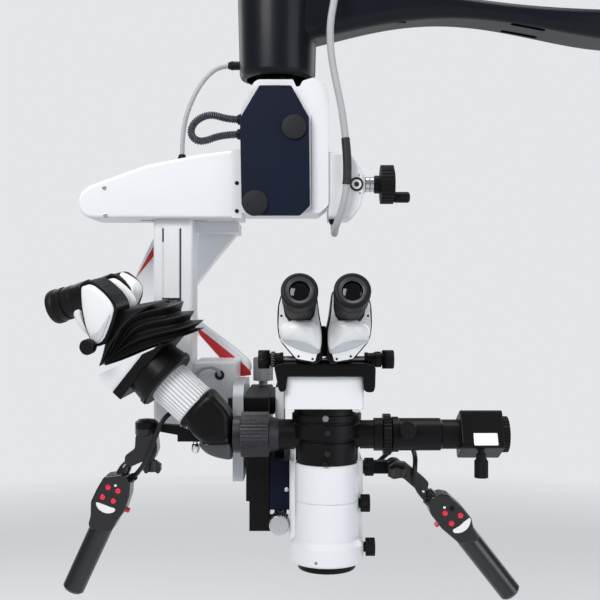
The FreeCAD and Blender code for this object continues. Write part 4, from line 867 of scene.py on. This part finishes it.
def tape_sleeve():
    """Black tape wound over the hose, its radius stepping with each turn."""
    points = [p for p in HOSE_PATH if TAPE_LOW < p.z < TAPE_HIGH]
    points = [a.lerp(b, t / 4) for a, b in zip(points, points[1:]) for t in range(4)]
    radii = [mm(HOSE_R + 0.6 + 0.55 * ((i * 0.21) % 1.0)) for i in range(len(points))]
    return new_piece("hose_tape", tube_mesh("hose_tape", points, radii), tape_black, "head")


tape_sleeve()

# Red faces of the link and the small cable at the tilt bearing
LINK_FRONT = 200.0
red_lower = [(-147.5, -36), (-119.9, -57.8), (-91.7, -80.4), (-84.6, -86), (-69.5, -100), (-68.5, -106),
             (-79, -107), (-94.5, -107), (-111, -83), (-141, -49.5)]
slab("link_red_lower", rounded_corners(red_lower, 3), front(LINK_FRONT), 0.3, red_paint, "carriage",
     0.1)
slab("link_red_upper", rounded_corners([(-204, 80), (-204.4, 64), (-231, 32)], 1), front(LINK_FRONT), 0.8,
     red_paint, "carriage", 0.2)

BLOCK_FRONT = 112.0
cord("bearing_cable", [(-136, 118, -106), (-137, 108, -100), (-131, 104, -91), (-118, 104, -87.5),
                       (-107.5, 105, -91), (-106, 108, -98), (-106, 114, -99.4)], 2.5, hose_grey,
     "carriage", "hose_grey", None, 0)
turned("bearing_bush", [(2.7, -2), (5, -2), (6.4, 0.2), (6.4, 0.9), (5.8, 1.4), (3.6, 1.4), (2.7, 0.6)],
       (-106, BLOCK_FRONT, -99), -EY, dark_and_gap_shade, "carriage", steps=32)

# Slides
A_KNOB = (-25.5, 14.7, -274)
SLIDE_FRONT = 40.1
turned("depth_knob_face", [(0, -0.4), (11.3, -0.4), (12.0, 0.3), (12.0, 0.8), (11.2, 1.5), (9.8, 1.6),
                           (0, 1.6)], A_KNOB, -EY, steel, "depth_knob")
turned("lift_knob_top", [(0, -0.3), (12.4, -0.3), (13.2, 0.4), (13.2, 0.8), (12, 1.6), (4, 1.6), (3.4, 0.9),
                         (0, 0.9)], (-52, 200, -82.2), EZ, ribbed_grey, "lift_knob")
screws("mount_screws", on_front(SLIDE_FRONT, [(-16.8, -235.4)]), 2.9, 1.6, steel, "optics", "steel",
       socket=0.45)
screws("slide_screws", on_front(SLIDE_FRONT, [(-57, -243), (-45.5, -243), (-57, -216), (-45.5, -216)]), 2.4,
       1.0, black_cast, "lift", "black_metal")

# Ring stack
OPT_X = 32.0
for tag, y, z in (("upper", -42.8, -154), ("lower", -38.3, -179)):
    turned("stack_lock_" + tag, [(0, 0), (3.3, 0), (3.3, 0.9), (2.7, 1.5), (1.2, 1.6), (0.8, 1.1),
                                 (0, 1.1)], (OPT_X, y, z), -EY, cap_grey, "optics", steps=32)
turned("stack_pin", [(0, -4), (3.7, -4), (3.7, 1.6), (2.9, 2.6), (0, 2.8)], (29.5, -41.2, -137.6), -EY,
       ribbed_grey, "optics", steps=32)
turned("stack_ball", [(0, -6), (1.6, -6), (1.6, 0.4), (2.7, 1), (3.4, 2.4), (3.4, 3.6), (2.6, 5.2),
                      (1.2, 6), (0, 6.2)], (28.6, -35.5, -190.3), -EY, black_plastic, "optics",
       steps=32)
# A dark disc over the foot's hole: painted shade inside the hole.
screws("foot_hole", [((18.5, -41.6, -304.6), Vector((-13.5, -41.9, 0)).normalized(), EZ)], 1.7, 0.5,
       dark_and_gap_shade, "optics", "black_metal")
for tag, x in (("left", -5.2), ("right", 69.2)):
    slab("stack_latch_" + tag, rounded_box(-4, 4, -174, -193, 1.5),
         lambda a, b, c, x=x: Vector((x + (c if x > 0 else -c), a - 6, b)), 1.4, chrome, "optics", 0.3)
slab("box_clip", rounded_corners([(60.5, -126.2), (70.5, -126.2), (70.5, -130), (66, -131.5), (61, -130)],
                                 0.8), front(-30), 3, chrome, "optics", 0.4)


# Domed covers, ledges and scale marks

def bulb(name, rim, base, middle, top, place, material, body, rings=14, count=96):
    """Domed cover between its base (a, b) and its rim (a, b, height), the dome's top over the middle."""
    rim = smooth_outline(rim, count)
    base = smooth_outline(base, count)
    points = [place(p.x, p.y, -0.4) for p in base]
    rows = [0]
    middle = Vector(middle)
    for j in range(rings, 0, -1):
        t = math.sin(math.pi / 2 * j / rings)
        rows.append(len(points))
        for p in rim:
            q = middle + (Vector((p.x, p.y)) - middle) * t
            soft = 0.5 + 0.5 * min(1.0, p.z / 8)
            points.append(place(q.x, q.y, p.z + (top - p.z) * max(0.0, 1 - t * t) ** soft))
    points.append(place(middle.x, middle.y, top))
    hub = len(points) - 1
    faces = [tuple(range(count - 1, -1, -1))]
    for low, high in zip(rows, rows[1:]):
        for i in range(count):
            j = (i + 1) % count
            faces.append((low + i, low + j, high + j, high + i))
    last = rows[-1]
    faces += [(last + i, last + (i + 1) % count, hub) for i in range(count)]
    return new_piece(name, mesh_of(name, points, faces, 38), material, body)


def ledge(name, upper, lower, thick, material, body):
    """Thin closed strip between two lines of points, its depth going back along Y."""
    n = len(upper)
    back = Vector((0, thick, 0))
    points = list(upper) + list(lower) + [p + back for p in lower] + [p + back for p in upper]
    faces = []
    for row in range(4):
        low, high = row * n, (row + 1) % 4 * n
        faces += [(low + i, low + i + 1, high + i + 1, high + i) for i in range(n - 1)]
    faces += [(0, n, 2 * n, 3 * n), (n - 1, 4 * n - 1, 3 * n - 1, 2 * n - 1)]
    return new_piece(name, mesh_of(name, points, faces, 50), material, body)


def ring_of_ticks(name, start, axis, along, radius, spans, size, material, body, slot):
    """Small raised marks round a barrel, at the angles given by (first, last, step) in degrees."""
    start = Vector(start)
    axis, u, v = axes_from(axis)
    bm = bmesh.new()
    bmesh.ops.create_cube(bm, size=1.0, matrix=Matrix.Diagonal((mm(size[1]), mm(size[0]), mm(size[2]), 1)))
    tick = bpy.data.meshes.new("tick")
    bm.to_mesh(tick)
    bm.free()
    head = pattern("tick", tick)
    spots = []
    for first, last, step in spans:
        angle = first
        while angle <= last:
            a = math.radians(angle)
            out = u * math.cos(a) + v * math.sin(a)
            spots.append((start + axis * along + out * radius, out, axis))
            angle += step
    piece = grown(name, SCATTER, point_mesh(name, spots), body, slot, pattern=head, scale=1.0,
                  material=material)
    bpy.data.objects.remove(head)
    return piece


def eyepiece_dress(tag, face, axis, radius, body):
    """Rubber eyecup with its dished inner ring, the coated lens and the scale marks of one eyepiece."""
    turned("eyecup_" + tag, [(radius + 0.2, -9), (radius + 0.7, -8.2), (radius + 0.7, -1.8), (radius, -0.1),
                             (radius - 1.3, 0.7), (radius - 3.2, 0.7), (radius - 4.4, -0.1), (12.6, -2.6),
                             (11.5, -2.75), (11.5, -5.5), (11.9, -5.9), (radius - 6, -9)],
           face, axis, eye_rubber, body, steps=96)
    turned("eye_ring_" + tag, [(11.6, -2.6), (15.3, -0.2), (15.6, 0.1), (15.2, 0.5), (12.2, -1.9),
                               (11.4, -2.1)], face, axis, dish_grey, body, steps=96)
    turned("eye_lens_" + tag, [(11.7, -5.9), (11.7, -4.6), (9, -3.7), (5, -3.0),
                               (0, -2.7)][::-1] + [(0, -5.9)], face, axis, coated_lens, body,
           steps=64)
    ring_of_ticks("eye_marks_" + tag, face, axis, -39.5, radius - 2.05, ((200, 340, 10),), (0.5, 3.0, 0.3),
                  scale_white, body, "black_plastic")


# Main binocular: casting, white plate, dome and eyepiece of each half
BINO_X, EYE_HALF = 28.0, 28.5
CASE_Y0, CASE_Y1 = -60.0, -14.0
EYE_TILT = math.radians(20)
EYE_WAY = Vector((0, -math.cos(EYE_TILT), math.sin(EYE_TILT)))
CASE = [(-19, 13), (-25, -6), (-25.5, -30), (-23, -46), (-4, -68.5), (8, -71), (26.2, -71), (26.3, -34),
        (23, -20), (19, 13)]
PLATE = [(-19.2, 7.5), (-23, -6.5), (-24, -30), (-21.5, -46), (-3.3, -66.8), (15.4, -70), (17.8, -69),
         (22, -54), (24.9, -36), (21.6, -19.5), (18.8, 8.5), (18.4, -9), (16.6, -18), (11.5, -25.5),
         (4.5, -29), (-4.5, -29), (-11.5, -25.5), (-16.6, -18), (-18.4, -9)]
DOME_RIM = [(-14.5, -26.5, 0.6), (-7.5, -23.8, 0.6), (0.5, -23, 0.6), (9.5, -23.6, 0.6), (17, -26.4, 0.6),
            (22.3, -31, 0.6), (24.8, -37.5, 0.6), (25, -46, 1), (24.4, -52.5, 3), (22, -57.5, 6),
            (17, -56, 8.5), (7.2, -51.5, 10.5), (-4.1, -48.5, 10.5), (-12, -47.3, 7.5), (-18.5, -46.2, 3),
            (-22, -42, 0.6), (-23.3, -36, 0.6), (-20.5, -30.5, 0.6)]
DOME_BASE = [(a, b) for a, b, _ in DOME_RIM]
for i, place in ((8, (24.2, -54)), (9, (22.6, -60)), (10, (16.5, -60.8)), (11, (6.5, -58.6)),
                 (12, (-4.5, -55)), (13, (-12.8, -51)), (14, (-19, -47))):
    DOME_BASE[i] = place
DOME_LEAN = 0.33


def half_front(x, k, y):
    """Placer for one half of the binocular: x is its middle, k mirrors it, y its depth."""
    return lambda a, b, c: Vector((x + k * a, y - c, b))


def on_dome(x, k, y, drop=0.0):
    """Placer that leans up with the dome as it comes forward."""
    return lambda a, b, c: Vector((x + k * a, y - c, b - drop + DOME_LEAN * max(c, 0)))


for tag, side in (("l", -1), ("r", 1)):
    k = -side
    x = BINO_X + side * EYE_HALF
    body = "eye_" + tag
    case = slab("prism_case_" + tag, rounded_corners(CASE, 9), half_front(x, k, CASE_Y1),
                CASE_Y1 - CASE_Y0, black_cast, body, 1.0)
    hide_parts("prism_" + tag)
    slab("prism_sleeve_" + tag, rounded_box(x - 9 + k * 5, x + 9 + k * 5, -74.2, -60, 2), front(-15), 13.5,
         black_cast, body)
    turned("eye_boss_" + tag, [(0, -8), (17, -8), (17, 1.4), (16.4, 2), (0, 2)], Vector((x, -60, -11.15)),
           EYE_WAY, black_cast, body)
    slab("prism_plate_" + tag, PLATE, half_front(x, k, CASE_Y0), 1.2, white_plastic, body,
         0.35)
    bulb("prism_dome_" + tag, DOME_RIM, DOME_BASE, (1.5, -39), 19,
         on_dome(x, k, CASE_Y0 - 1.2), white_plastic, body)
    # Grey ledge along each dome's lower cut edge: painted shade on the down-facing facet.
    place = on_dome(x, k, CASE_Y0 - 1.35, 0.2)
    rim = smooth_outline(DOME_RIM, 96)[43:77]
    base = smooth_outline(DOME_BASE, 96)[43:77]
    ledge("prism_crescent_" + tag, [place(*p) for p in rim], [place(p.x, p.y, 0.1) for p in base], 0.6,
          crescent_painted_shade, body)
    spots = [(x + k * a, b) for a, b in ((-20.7, -18), (-1.2, -64), (14.8, -67))]
    screws("prism_screws_" + tag, on_front(CASE_Y0 - 1.15, spots), 1.4, 0.5, dark_and_gap_shade, body, "black_metal",
           socket=0.45)
    eyepiece_dress(tag, (x, -120, 10.7), EYE_WAY, 19.6, "diopter_" + tag)


# Tilting frame of the main binocular, with its shaft, knobs and scale rings

def ribbed_ring(radius, depth, count):
    """Outline of a knob with straight ribs."""
    outline = []
    for i in range(4 * count):
        a = math.pi * i / (2 * count)
        r = radius if i % 4 < 2 else radius - depth
        outline.append((r * math.cos(a), r * math.sin(a)))
    return outline


def on_shaft(x, way):
    """Placer for a disc across the spacing shaft, growing outwards from x."""
    return lambda a, b, c: Vector((x + way * c, SHAFT_Y + a, SHAFT_Z + b))


YOKE_FRAME = [(-29.6, -78), (-27.5, -74.6), (-21, -72.9), (77, -72.9), (84.5, -74.6), (87, -78),
              (86.4, -100), (84.6, -105.8), (77.2, -106.2), (74.6, -103), (73.6, -87.4), (-15.6, -87.4),
              (-17.6, -103), (-21.4, -106.2), (-24.4, -103.4)]
SHAFT_Y, SHAFT_Z = -20.0, -70.0
frame_piece = slab("yoke_frame", rounded_corners(YOKE_FRAME, [3, 3, 2, 2, 3, 3, 2, 4, 3, 1, 1, 1, 1, 3, 3]),
                   front(-45.6), 5.8, black_cast, "bino", 1.5)
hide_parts("bino_yoke")
for tag, box in (("top", (-26.5, 84, -74.4, -76)), ("low", (-27, 85, -81.4, -83.4))):
    slab("yoke_ridge_" + tag, rounded_box(*box, 0.7), front(-51.3), 1.2, black_cast, "bino",
         0.5)
slab("yoke_deck", rounded_box(-27, 84.4, -74.8, -81, 1), front(6), 51.5, black_cast, "bino")
slab("yoke_ear_left", rounded_corners([(-27, -76), (-18.5, -76), (-18.5, -105), (-21.5, -105.8),
                                       (-24.4, -102)], 2), front(-6), 39.4, black_cast, "bino",
     0.8)
slab("yoke_ear_right", rounded_corners([(74.5, -76), (84.4, -76), (84.6, -104), (82, -105.8),
                                        (74.5, -105.4)], 2), front(-6), 39.4, black_cast, "bino",
     0.8)
slab("yoke_web", rounded_corners([(BINO_X - 2.6, -31), (BINO_X + 2.6, -31), (BINO_X + 7, -75),
                                  (BINO_X - 7, -75)], 1), front(-6), 6.5, black_cast, "bino",
     0.4)
turned("spacing_shaft", [(0, -38), (4, -38), (4, 99), (0, 99)], (0, SHAFT_Y, SHAFT_Z), EX, steel,
       "spacing_knobs", steps=32)
for tag, way, bearing, collar, grip in (("left", -1, -20.6, -29.4, -35.6), ("right", 1, 77, 88.4, 96.8)):
    across = Vector((0, SHAFT_Y, SHAFT_Z))
    span, reach = abs(collar - bearing), abs(grip - collar)
    turned("shaft_bearing_" + tag, [(4.4, -1), (8.3, -1), (8.3, 3), (7.6, 3.6), (7.6, 8.6), (8.3, 9.2),
                                    (8.3, span - 0.4), (4.4, span - 0.4)], across + EX * bearing, EX * way,
           black_cast, "bino")
    turned("spacing_collar_" + tag, [(4.1, 0), (9.3, 0), (9.3, reach - 1.6), (7.4, reach - 1.2),
                                     (7.4, reach + 0.1), (4.1, reach + 0.1)], across + EX * collar,
           EX * way, black_plastic, "spacing_knobs")
    head = slab("spacing_grip_" + tag, ribbed_ring(11, 0.8, 24), on_shaft(grip, way),
                13.6, black_plastic, "spacing_knobs", 0.9)
    if way < 0:
        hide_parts("bino_knobs")
        ring_of_ticks("spacing_marks", across + EX * collar, EX * way, reach / 2 - 0.6, 9.25,
                      ((0, 350, 18),), (0.7, 3.6, 0.3), scale_white, "spacing_knobs", "black_plastic")

# Observer's tube, drawn along its slanted axis and then given its two rest turns
ELBOW = Vector((-89.6, 0, -161))
CROSS = Vector((0, 0, -161))
SLOPE = math.radians(42.4)
OBLIQUE_U = Vector((-math.cos(SLOPE), 0, math.sin(SLOPE)))
OBLIQUE_V = Vector((math.sin(SLOPE), 0, math.cos(SLOPE)))
REST_ROLL = Matrix.Rotation(math.radians(-25), 3, OBLIQUE_U)
REST_TURN = Matrix.Rotation(math.radians(-10), 3, "X")


def rest_way(way):
    return REST_TURN @ (REST_ROLL @ Vector(way))


def oblique(a, b, w):
    """Point a along the slanted axis from the elbow, b across it and w in depth, at rest."""
    return CROSS + REST_TURN @ (ELBOW + REST_ROLL @ (OBLIQUE_U * a + OBLIQUE_V * b + EY * w) - CROSS)


def beside(depth):
    """Placer for pieces on a side of the observer's head, at a depth."""
    return lambda a, b, c: oblique(a, b, depth - c)


ELBOW_OUTLINE = [(-136.4, -146), (-137.2, -139.5), (-133, -130), (-123.5, -118), (-113, -108.8),
                 (-106, -106.6), (-100.6, -109.2), (-93.5, -117.5), (-84.6, -128), (-80.4, -138),
                 (-80.2, -150), (-80.2, -164), (-83, -171.4), (-92, -173.4), (-105.6, -173.8),
                 (-117.6, -169), (-127, -161), (-133, -152.8)]
elbow = pillow("elbow_shell", smooth_outline(ELBOW_OUTLINE, 96), (-107, -142), front(0),
               domed(25, 7), domed(-24, 7), black_cast, "obs_tube",
               rings=40)
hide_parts("obs_prism")
ELBOW_FOOT = [(-121, -172), (-114.5, -181), (-104.5, -186.6), (-91.5, -190), (-83, -190.6), (-80.4, -187),
              (-80.2, -170), (-90, -166), (-110, -165)]
pillow("elbow_foot", smooth_outline(ELBOW_FOOT, 72), (-94, -177), front(0),
       domed(17, 6), domed(-17, 6), casting_grey, "obs_tube",
       rings=24)
turned("elbow_rim", [(0, 36), (26.6, 36), (26.6, 40.2), (28, 41), (28, 47.4), (27.2, 48.5), (0, 48.5)],
       oblique(0, 0, 0), rest_way(OBLIQUE_U), black_cast, "obs_tube", steps=96)
turned("elbow_band", [(26.4, 38), (27.1, 38), (27.1, 39.6), (26.4, 39.6)], oblique(0, 0, 0),
       rest_way(OBLIQUE_U), steel, "obs_tube", steps=96)
turned("elbow_screw", [(0, 0), (2.2, 0), (2.2, 0.5), (1.6, 1), (0, 1)], (-86.5, -23.4, -165), -EY, cap_grey,
       "obs_tube", steps=24)

# Grey strips along the white barrel: painted shade in its grooves.
ring_of_ticks("barrel_grooves", oblique(0, 0, 0), rest_way(OBLIQUE_U), 72, 26.25, ((5, 360, 10),),
              (0.75, 43, 0.5), groove_painted_shade, "obs_turret", "body_white")

# Observer's halves: black casting, white cover with a crescent of painted shade, eyepiece, hinge knob
HALF_CASE = [(241, 33), (239.5, 41), (232.5, 49.5), (219, 51.5), (203, 51.5), (188.5, 47), (183, 38),
             (177.5, 22), (174, 6), (175.5, -5.5), (184, -9.5), (192, -7), (208, 1.5), (226, 18)]
FAR_CASE = [(241, 33), (239.5, 41), (232.5, 49.5), (219, 51.5), (205, 50), (198, 42), (193.5, 28),
            (190, 10), (187, -4), (192, -7), (208, 1.5), (226, 18)]
HALF_COVER = [(235, 34), (234, 40), (229, 46), (218.7, 48.4), (203.6, 48.2), (191.4, 44.2), (186.5, 36.3),
              (181.3, 21.5), (177.8, 7), (179, -2), (186, -6), (192, -4), (206, 4.5), (222, 18.5)]
CRESCENT = [(188.2, 36), (183, 21), (179.3, 7), (180.3, -0.8), (185.5, -4), (192, -2.5), (189.5, 4),
            (187.6, 14), (187.9, 26)]
BELLY = [(239, 29), (243, 22), (241, 10), (229, -3), (214, -10), (199, -12), (192, -8), (212, 4), (230, 21)]
EYE_WAY_OBLIQUE = rest_way(OBLIQUE_U * 0.52 - OBLIQUE_V * 0.854).normalized()
HINGE = (184, -10)
HALF_DEEP = 34
for name, side in (("near", -1), ("far", 1)):
    body = "obs_eye_" + name
    near_face = -46 if side < 0 else 12
    far_face = near_face + HALF_DEEP
    outline = HALF_CASE if side < 0 else FAR_CASE
    case = slab("obs_case_" + name, rounded_corners(outline, 5), beside(far_face), HALF_DEEP,
                black_cast, body, 1.0)
    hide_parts("obs_" + name)
    pillow("obs_cover_" + name, smooth_outline(HALF_COVER, 72), (206, 26), beside(near_face),
           domed(4.4, 2.2, 0.55, 1.6), lambda t: -0.4, white_plastic, body)
    # Grey crescent on the cover's lower side: painted shade on the down-facing cut facet.
    slab("obs_crescent_" + name, smooth_outline(CRESCENT, 40), beside(near_face - 1.2), 3.8,
         crescent_painted_shade, body, 1.0)
    pillow("obs_belly_" + name, smooth_outline(BELLY, 48), (222, 6), beside(near_face + HALF_DEEP / 2),
           domed(14.5, 3), domed(-14.5, 3), white_plastic, body)
    if side > 0:
        pillow("obs_back_" + name, smooth_outline([(232, 50), (218, 54.5), (206, 54), (198, 47), (194, 34),
                                                   (191.5, 20), (190.5, 6), (194, 2), (198, 28), (208, 43)],
                                                  60), (203, 43), beside(near_face + HALF_DEEP / 2),
               domed(15.5, 3), domed(-15.5, 3), white_plastic, body)
    root = oblique(233, 18, side * 29)
    turned("obs_eye_" + name, [(0, -14), (18.8, -14), (18.8, -3), (18.4, -2), (18.4, 9), (19, 9.6),
                               (19, 20), (18.3, 20.6), (18.3, 21.4), (20.1, 22), (20.1, 33), (0, 33)], root,
           EYE_WAY_OBLIQUE, black_plastic, body, steps=96)
    eyepiece_dress(name, root + EYE_WAY_OBLIQUE * 41, EYE_WAY_OBLIQUE, 20.2, body)
    turned("obs_hinge_" + name, [(0, -61), (4, -61), (4, -12), (6, -11.5), (8.6, -10.5), (9.2, -9),
                                 (9.2, -1), (8.4, 0), (0, 0)], oblique(*HINGE, side * 62),
           rest_way(EY * side), black_plastic, body, steps=48)

# Folded cover of the observer's hinge
FOLDS = ([(167, -35), (176, -12), (186, 9), (194.8, 29.2)], [(166.6, -34.6), (171, -5), (173, 28),
        (163, 69)], [(166.4, -34.4), (170, 0), (174, 36), (142, 86)],
         [(166, -34.2), (162.3, 14), (158.2, 41.6), (124.5, 86)],
         [(165.4, -34), (157.8, 5), (143.2, 37), (108.5, 86)],
         [(165, -33.8), (150, -1), (132, 32), (102.5, 79)], [(164.6, -33.6), (148.1, -6), (137, 16),
        (126, 37)])
FOLD_HALF = 28.5
FOLD_STEPS = 9


def along_line(points, t):
    """Point on a smooth line through four points."""
    a, b, c, d = (Vector(p) for p in points)
    u = 1 - t
    near_a = b * 3 - a * 5 / 6 + d / 3 - c * 3 / 2
    near_d = c * 3 - d * 5 / 6 + a / 3 - b * 3 / 2
    return a * u ** 3 + near_a * 3 * u * u * t + near_d * 3 * u * t * t + d * t ** 3


def folded_cover():
    """Fan of leather folds: ridges and recessed valleys that all run to one corner."""
    lines, ridges = [], set()
    for k, ridge in enumerate(FOLDS):
        ridges.add(len(lines))
        lines.append([(along_line(ridge, j / FOLD_STEPS), FOLD_HALF) for j in range(FOLD_STEPS + 1)])
        if 1 <= k < len(FOLDS) - 1:
            for share, depth, pull in ((0.3, 6.5, 0.05), (0.5, 10, 0.1), (0.74, 6.5, 0.05)):
                between = []
                for j in range(FOLD_STEPS + 1):
                    t = j / FOLD_STEPS
                    p = along_line(ridge, t).lerp(along_line(FOLDS[k + 1], t), share)
                    root = Vector(FOLDS[0][0])
                    between.append((root + (p - root) * (1 - pull * t),
                                    FOLD_HALF - depth * min(1.0, 2.4 * t)))
                lines.append(between)
    points, faces = [], []
    n = FOLD_STEPS + 1
    for side in (-1, 1):
        for line in lines:
            points += [oblique(p.x, p.y, side * depth) for p, depth in line]
    half = len(lines) * n
    for side in (0, 1):
        for i in range(len(lines) - 1):
            for j in range(n - 1):
                a = side * half + i * n + j
                faces.append((a, a + 1, a + n + 1, a + n))
    for i in range(len(lines) - 1):
        a, b = i * n + n - 1, (i + 1) * n + n - 1
        faces.append((a, b, half + b, half + a))
        faces.append((i * n, half + i * n, half + (i + 1) * n, (i + 1) * n))
    last = (len(lines) - 1) * n
    for j in range(n - 1):
        faces.append((j, j + 1, half + j + 1, half + j))
        faces.append((last + j, half + last + j, half + last + j + 1, last + j + 1))
    mesh = mesh_of("folded_cover", points, faces, 180)
    on_ridge = set()
    for first in [side * half + i * n for side in (0, 1) for i in ridges]:
        on_ridge |= {tuple(round(c, 6) for c in at(*p)) for p in points[first:first + n]}
    crease = mesh.attributes.new("crease_edge", "FLOAT", "EDGE")
    for edge in mesh.edges:
        ends = [tuple(round(c, 6) for c in mesh.vertices[v].co) for v in edge.vertices]
        crease.data[edge.index].value = 0.8 if ends[0] in on_ridge and ends[1] in on_ridge else 0.0
    mesh.materials.append(fold_leather)
    mesh.polygons.foreach_set("use_smooth", [True] * len(mesh.polygons))
    piece = bpy.data.objects.new("folded_cover", mesh)
    bpy.context.scene.collection.objects.link(piece)
    soft = piece.modifiers.new("soft", "SUBSURF")
    soft.levels = soft.render_levels = 2
    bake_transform(piece)
    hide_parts("obs_bellows")


folded_cover()

# Trims of the slides and the post
POST_FRONT = 106
slab("slide_trim", rounded_box(-31.2, -20.4, -111, -151, 1), front(65.9), 1.2, white_paint,
     "optics", 0.4)
turned("bar_clip", [(0, 0), (3.4, 0), (3.4, 3), (5, 5), (5.4, 9), (4.4, 13), (2.4, 15.4), (0, 16)],
       (-130.5, 46, -176.2), -EZ, chrome, "tilt_frame", steps=32)
slab("bearing_pad", rounded_box(-94.8, -84.2, -129, -150, 1), front(111.9), 2.4, dark_and_gap_shade,
     "carriage", 0.4)
for i in range(5):
    top = -133 - 3.4 * i
    slab("bearing_pad_rib_%d" % i, rounded_box(-94, -85, top, top - 2, 0.6), front(109.6), 0.9,
         cap_grey, "carriage", 0.3)
# The line strip under the post's bar is painted shade in the gap below its end.
for tag, x0, x1, z0, z1, material in (("gap", -181.2, -178.4, 3, 76, white_paint),
                                      ("line", -177.6, -158.2, 0.2, 2.6, dark_and_gap_shade),
                                      ("lug_left", -176.8, -169.6, -4.2, -0.6, cap_grey),
                                      ("lug_right", -161.5, -155.6, -4.2, -0.6, cap_grey),
                                      ("dark_left", -176.8, -168.4, -14.4, -7, dark_and_gap_shade),
                                      ("dark_right", -161, -155.6, -24, -7.8, dark_and_gap_shade)):
    slab("post_" + tag, rounded_box(x0, x1, z0, z1, 0.4), front(POST_FRONT), 1.8, material, "carriage",
         0.2)

# Camera tube: bare label on the turned box
BOX_TURN = math.radians(-26)
BOX_OUT = Vector((0, -math.cos(BOX_TURN), -math.sin(BOX_TURN)))
BOX_UP = Vector((0, -math.sin(BOX_TURN), math.cos(BOX_TURN)))
slab("box_label", rounded_box(203.7, 231.9, -21.4, -6.4, 1.2),
     lambda a, b, c: Vector((a, 0, -161)) + BOX_OUT * (23.4 + c) + BOX_UP * b, 0.4, label_white, "video",
     0.1)

# Switch heads of the handles
LEFT_FACE, RIGHT_FACE = 28.0, 16.0


def half_moon(name, points, y, body):
    """White half-moon label on a face that looks at the surgeon."""
    slab(name, smooth_outline(points, 60), front(y), 0.9, label_white, body, 0.3)


half_moon("left_crescent", [(-250.4, -248.8), (-242.2, -251), (-233.6, -254.3), (-227.6, -256.4),
                            (-228.4, -260.2), (-234.8, -262.3), (-242.2, -260.8), (-248.8, -255.6)],
          LEFT_FACE + 0.1, "handle_l")
half_moon("right_crescent", [(186.2, -279.6), (193.3, -275.3), (201.8, -268.1), (206.9, -265.4),
                             (207.2, -270.9), (203.3, -278.3), (195.9, -283), (188.2, -283.4)],
          RIGHT_FACE + 0.1, "handle_r")
for tag, spot, y, body in (("left", (-226.8, -228.1), LEFT_FACE, "handle_l"),
                           ("right", (175.8, -252.5), RIGHT_FACE, "handle_r")):
    turned("lamp_" + tag, [(0, -0.3), (1.7, -0.3), (1.7, 0.5), (1.2, 1.1), (0, 1.3)], (spot[0], y, spot[1]),
           -EY, label_white, body, steps=32)
turned("dark_button_right", [(0, -0.3), (3.2, -0.3), (3.2, 0.8), (2.4, 1.4), (0, 1.6)],
       (184.9, RIGHT_FACE, -253.7), -EY, black_plastic, "handle_r", steps=32)
# Stage
BACKDROP = (0.775, 0.79, 0.81)
FLOOR_Z = at(0, 0, -760).z
WORLD_LIGHT = 0.34
TARGET = at(0, 60, 0)


def make_stage():
    mesh = bpy.data.meshes.new("floor")
    bm = bmesh.new()
    bmesh.ops.create_circle(bm, cap_ends=True, segments=96, radius=9.0)
    bm.to_mesh(mesh)
    bm.free()
    floor = bpy.data.objects.new("floor", mesh)
    floor.location = (at(0, 0, 0).x, 0, FLOOR_Z)
    bpy.context.scene.collection.objects.link(floor)
    material = bpy.data.materials.new("floor")
    material.use_nodes = True
    tree = material.node_tree
    shader = tree.nodes["Principled BSDF"]
    shader.inputs["Base Color"].default_value = (*BACKDROP, 1)
    shader.inputs["Roughness"].default_value = 0.8
    shader.inputs["Specular IOR Level"].default_value = 0.1
    glow = tree.nodes.new("ShaderNodeEmission")
    glow.inputs["Color"].default_value = (*BACKDROP, 1)
    glow.inputs["Strength"].default_value = 1.0
    coords = tree.nodes.new("ShaderNodeTexCoord")
    far = tree.nodes.new("ShaderNodeVectorMath")
    far.operation = "LENGTH"
    tree.links.new(coords.outputs["Object"], far.inputs[0])
    fade = tree.nodes.new("ShaderNodeMapRange")
    fade.inputs["From Min"].default_value = 0.9
    fade.inputs["From Max"].default_value = 3.0
    tree.links.new(far.outputs["Value"], fade.inputs["Value"])
    light_path = tree.nodes.new("ShaderNodeLightPath")
    seen = maths(tree, "MAXIMUM", light_path.outputs["Is Camera Ray"], light_path.outputs["Is Glossy Ray"])
    amount = maths(tree, "MULTIPLY", seen, fade.outputs[0])
    mix = tree.nodes.new("ShaderNodeMixShader")
    tree.links.new(amount, mix.inputs[0])
    tree.links.new(shader.outputs[0], mix.inputs[1])
    tree.links.new(glow.outputs[0], mix.inputs[2])
    tree.links.new(mix.outputs[0], tree.nodes["Material Output"].inputs["Surface"])
    mesh.materials.append(material)


def make_world():
    world = bpy.data.worlds.new("studio")
    bpy.context.scene.world = world
    world.use_nodes = True
    tree = world.node_tree
    background = tree.nodes["Background"]
    background.inputs["Color"].default_value = (*BACKDROP, 1)
    light_path = tree.nodes.new("ShaderNodeLightPath")
    seen = maths(tree, "MAXIMUM", light_path.outputs["Is Camera Ray"],
                 light_path.outputs["Is Transmission Ray"])
    strength = tree.nodes.new("ShaderNodeMix")
    strength.data_type = "FLOAT"
    strength.inputs[2].default_value = WORLD_LIGHT
    strength.inputs[3].default_value = 1.0
    tree.links.new(seen, strength.inputs[0])
    tree.links.new(strength.outputs[0], background.inputs["Strength"])


def area_light(name, place, target, size, power, colour=(1, 1, 1)):
    data = bpy.data.lights.new(name, "AREA")
    data.shape = "RECTANGLE"
    data.size, data.size_y = size
    data.energy = power
    data.color = colour
    lamp = bpy.data.objects.new(name, data)
    lamp.location = place
    lamp.rotation_euler = (Vector(target) - Vector(place)).to_track_quat("-Z", "Y").to_euler()
    bpy.context.scene.collection.objects.link(lamp)


make_stage()
make_world()
area_light("key", at(-900, -1300, 1100), TARGET, (0.9, 0.8), 26, (1.0, 0.99, 0.97))
area_light("fill", at(1300, -1100, 300), TARGET, (1.0, 1.4), 12, (0.95, 0.97, 1.0))
area_light("top", at(0, 200, 1700), TARGET, (1.4, 1.0), 20)
area_light("back_left", at(-1100, 1300, 500), TARGET, (0.8, 1.4), 7)
area_light("back_right", at(1200, 1200, 500), TARGET, (0.8, 1.4), 7)
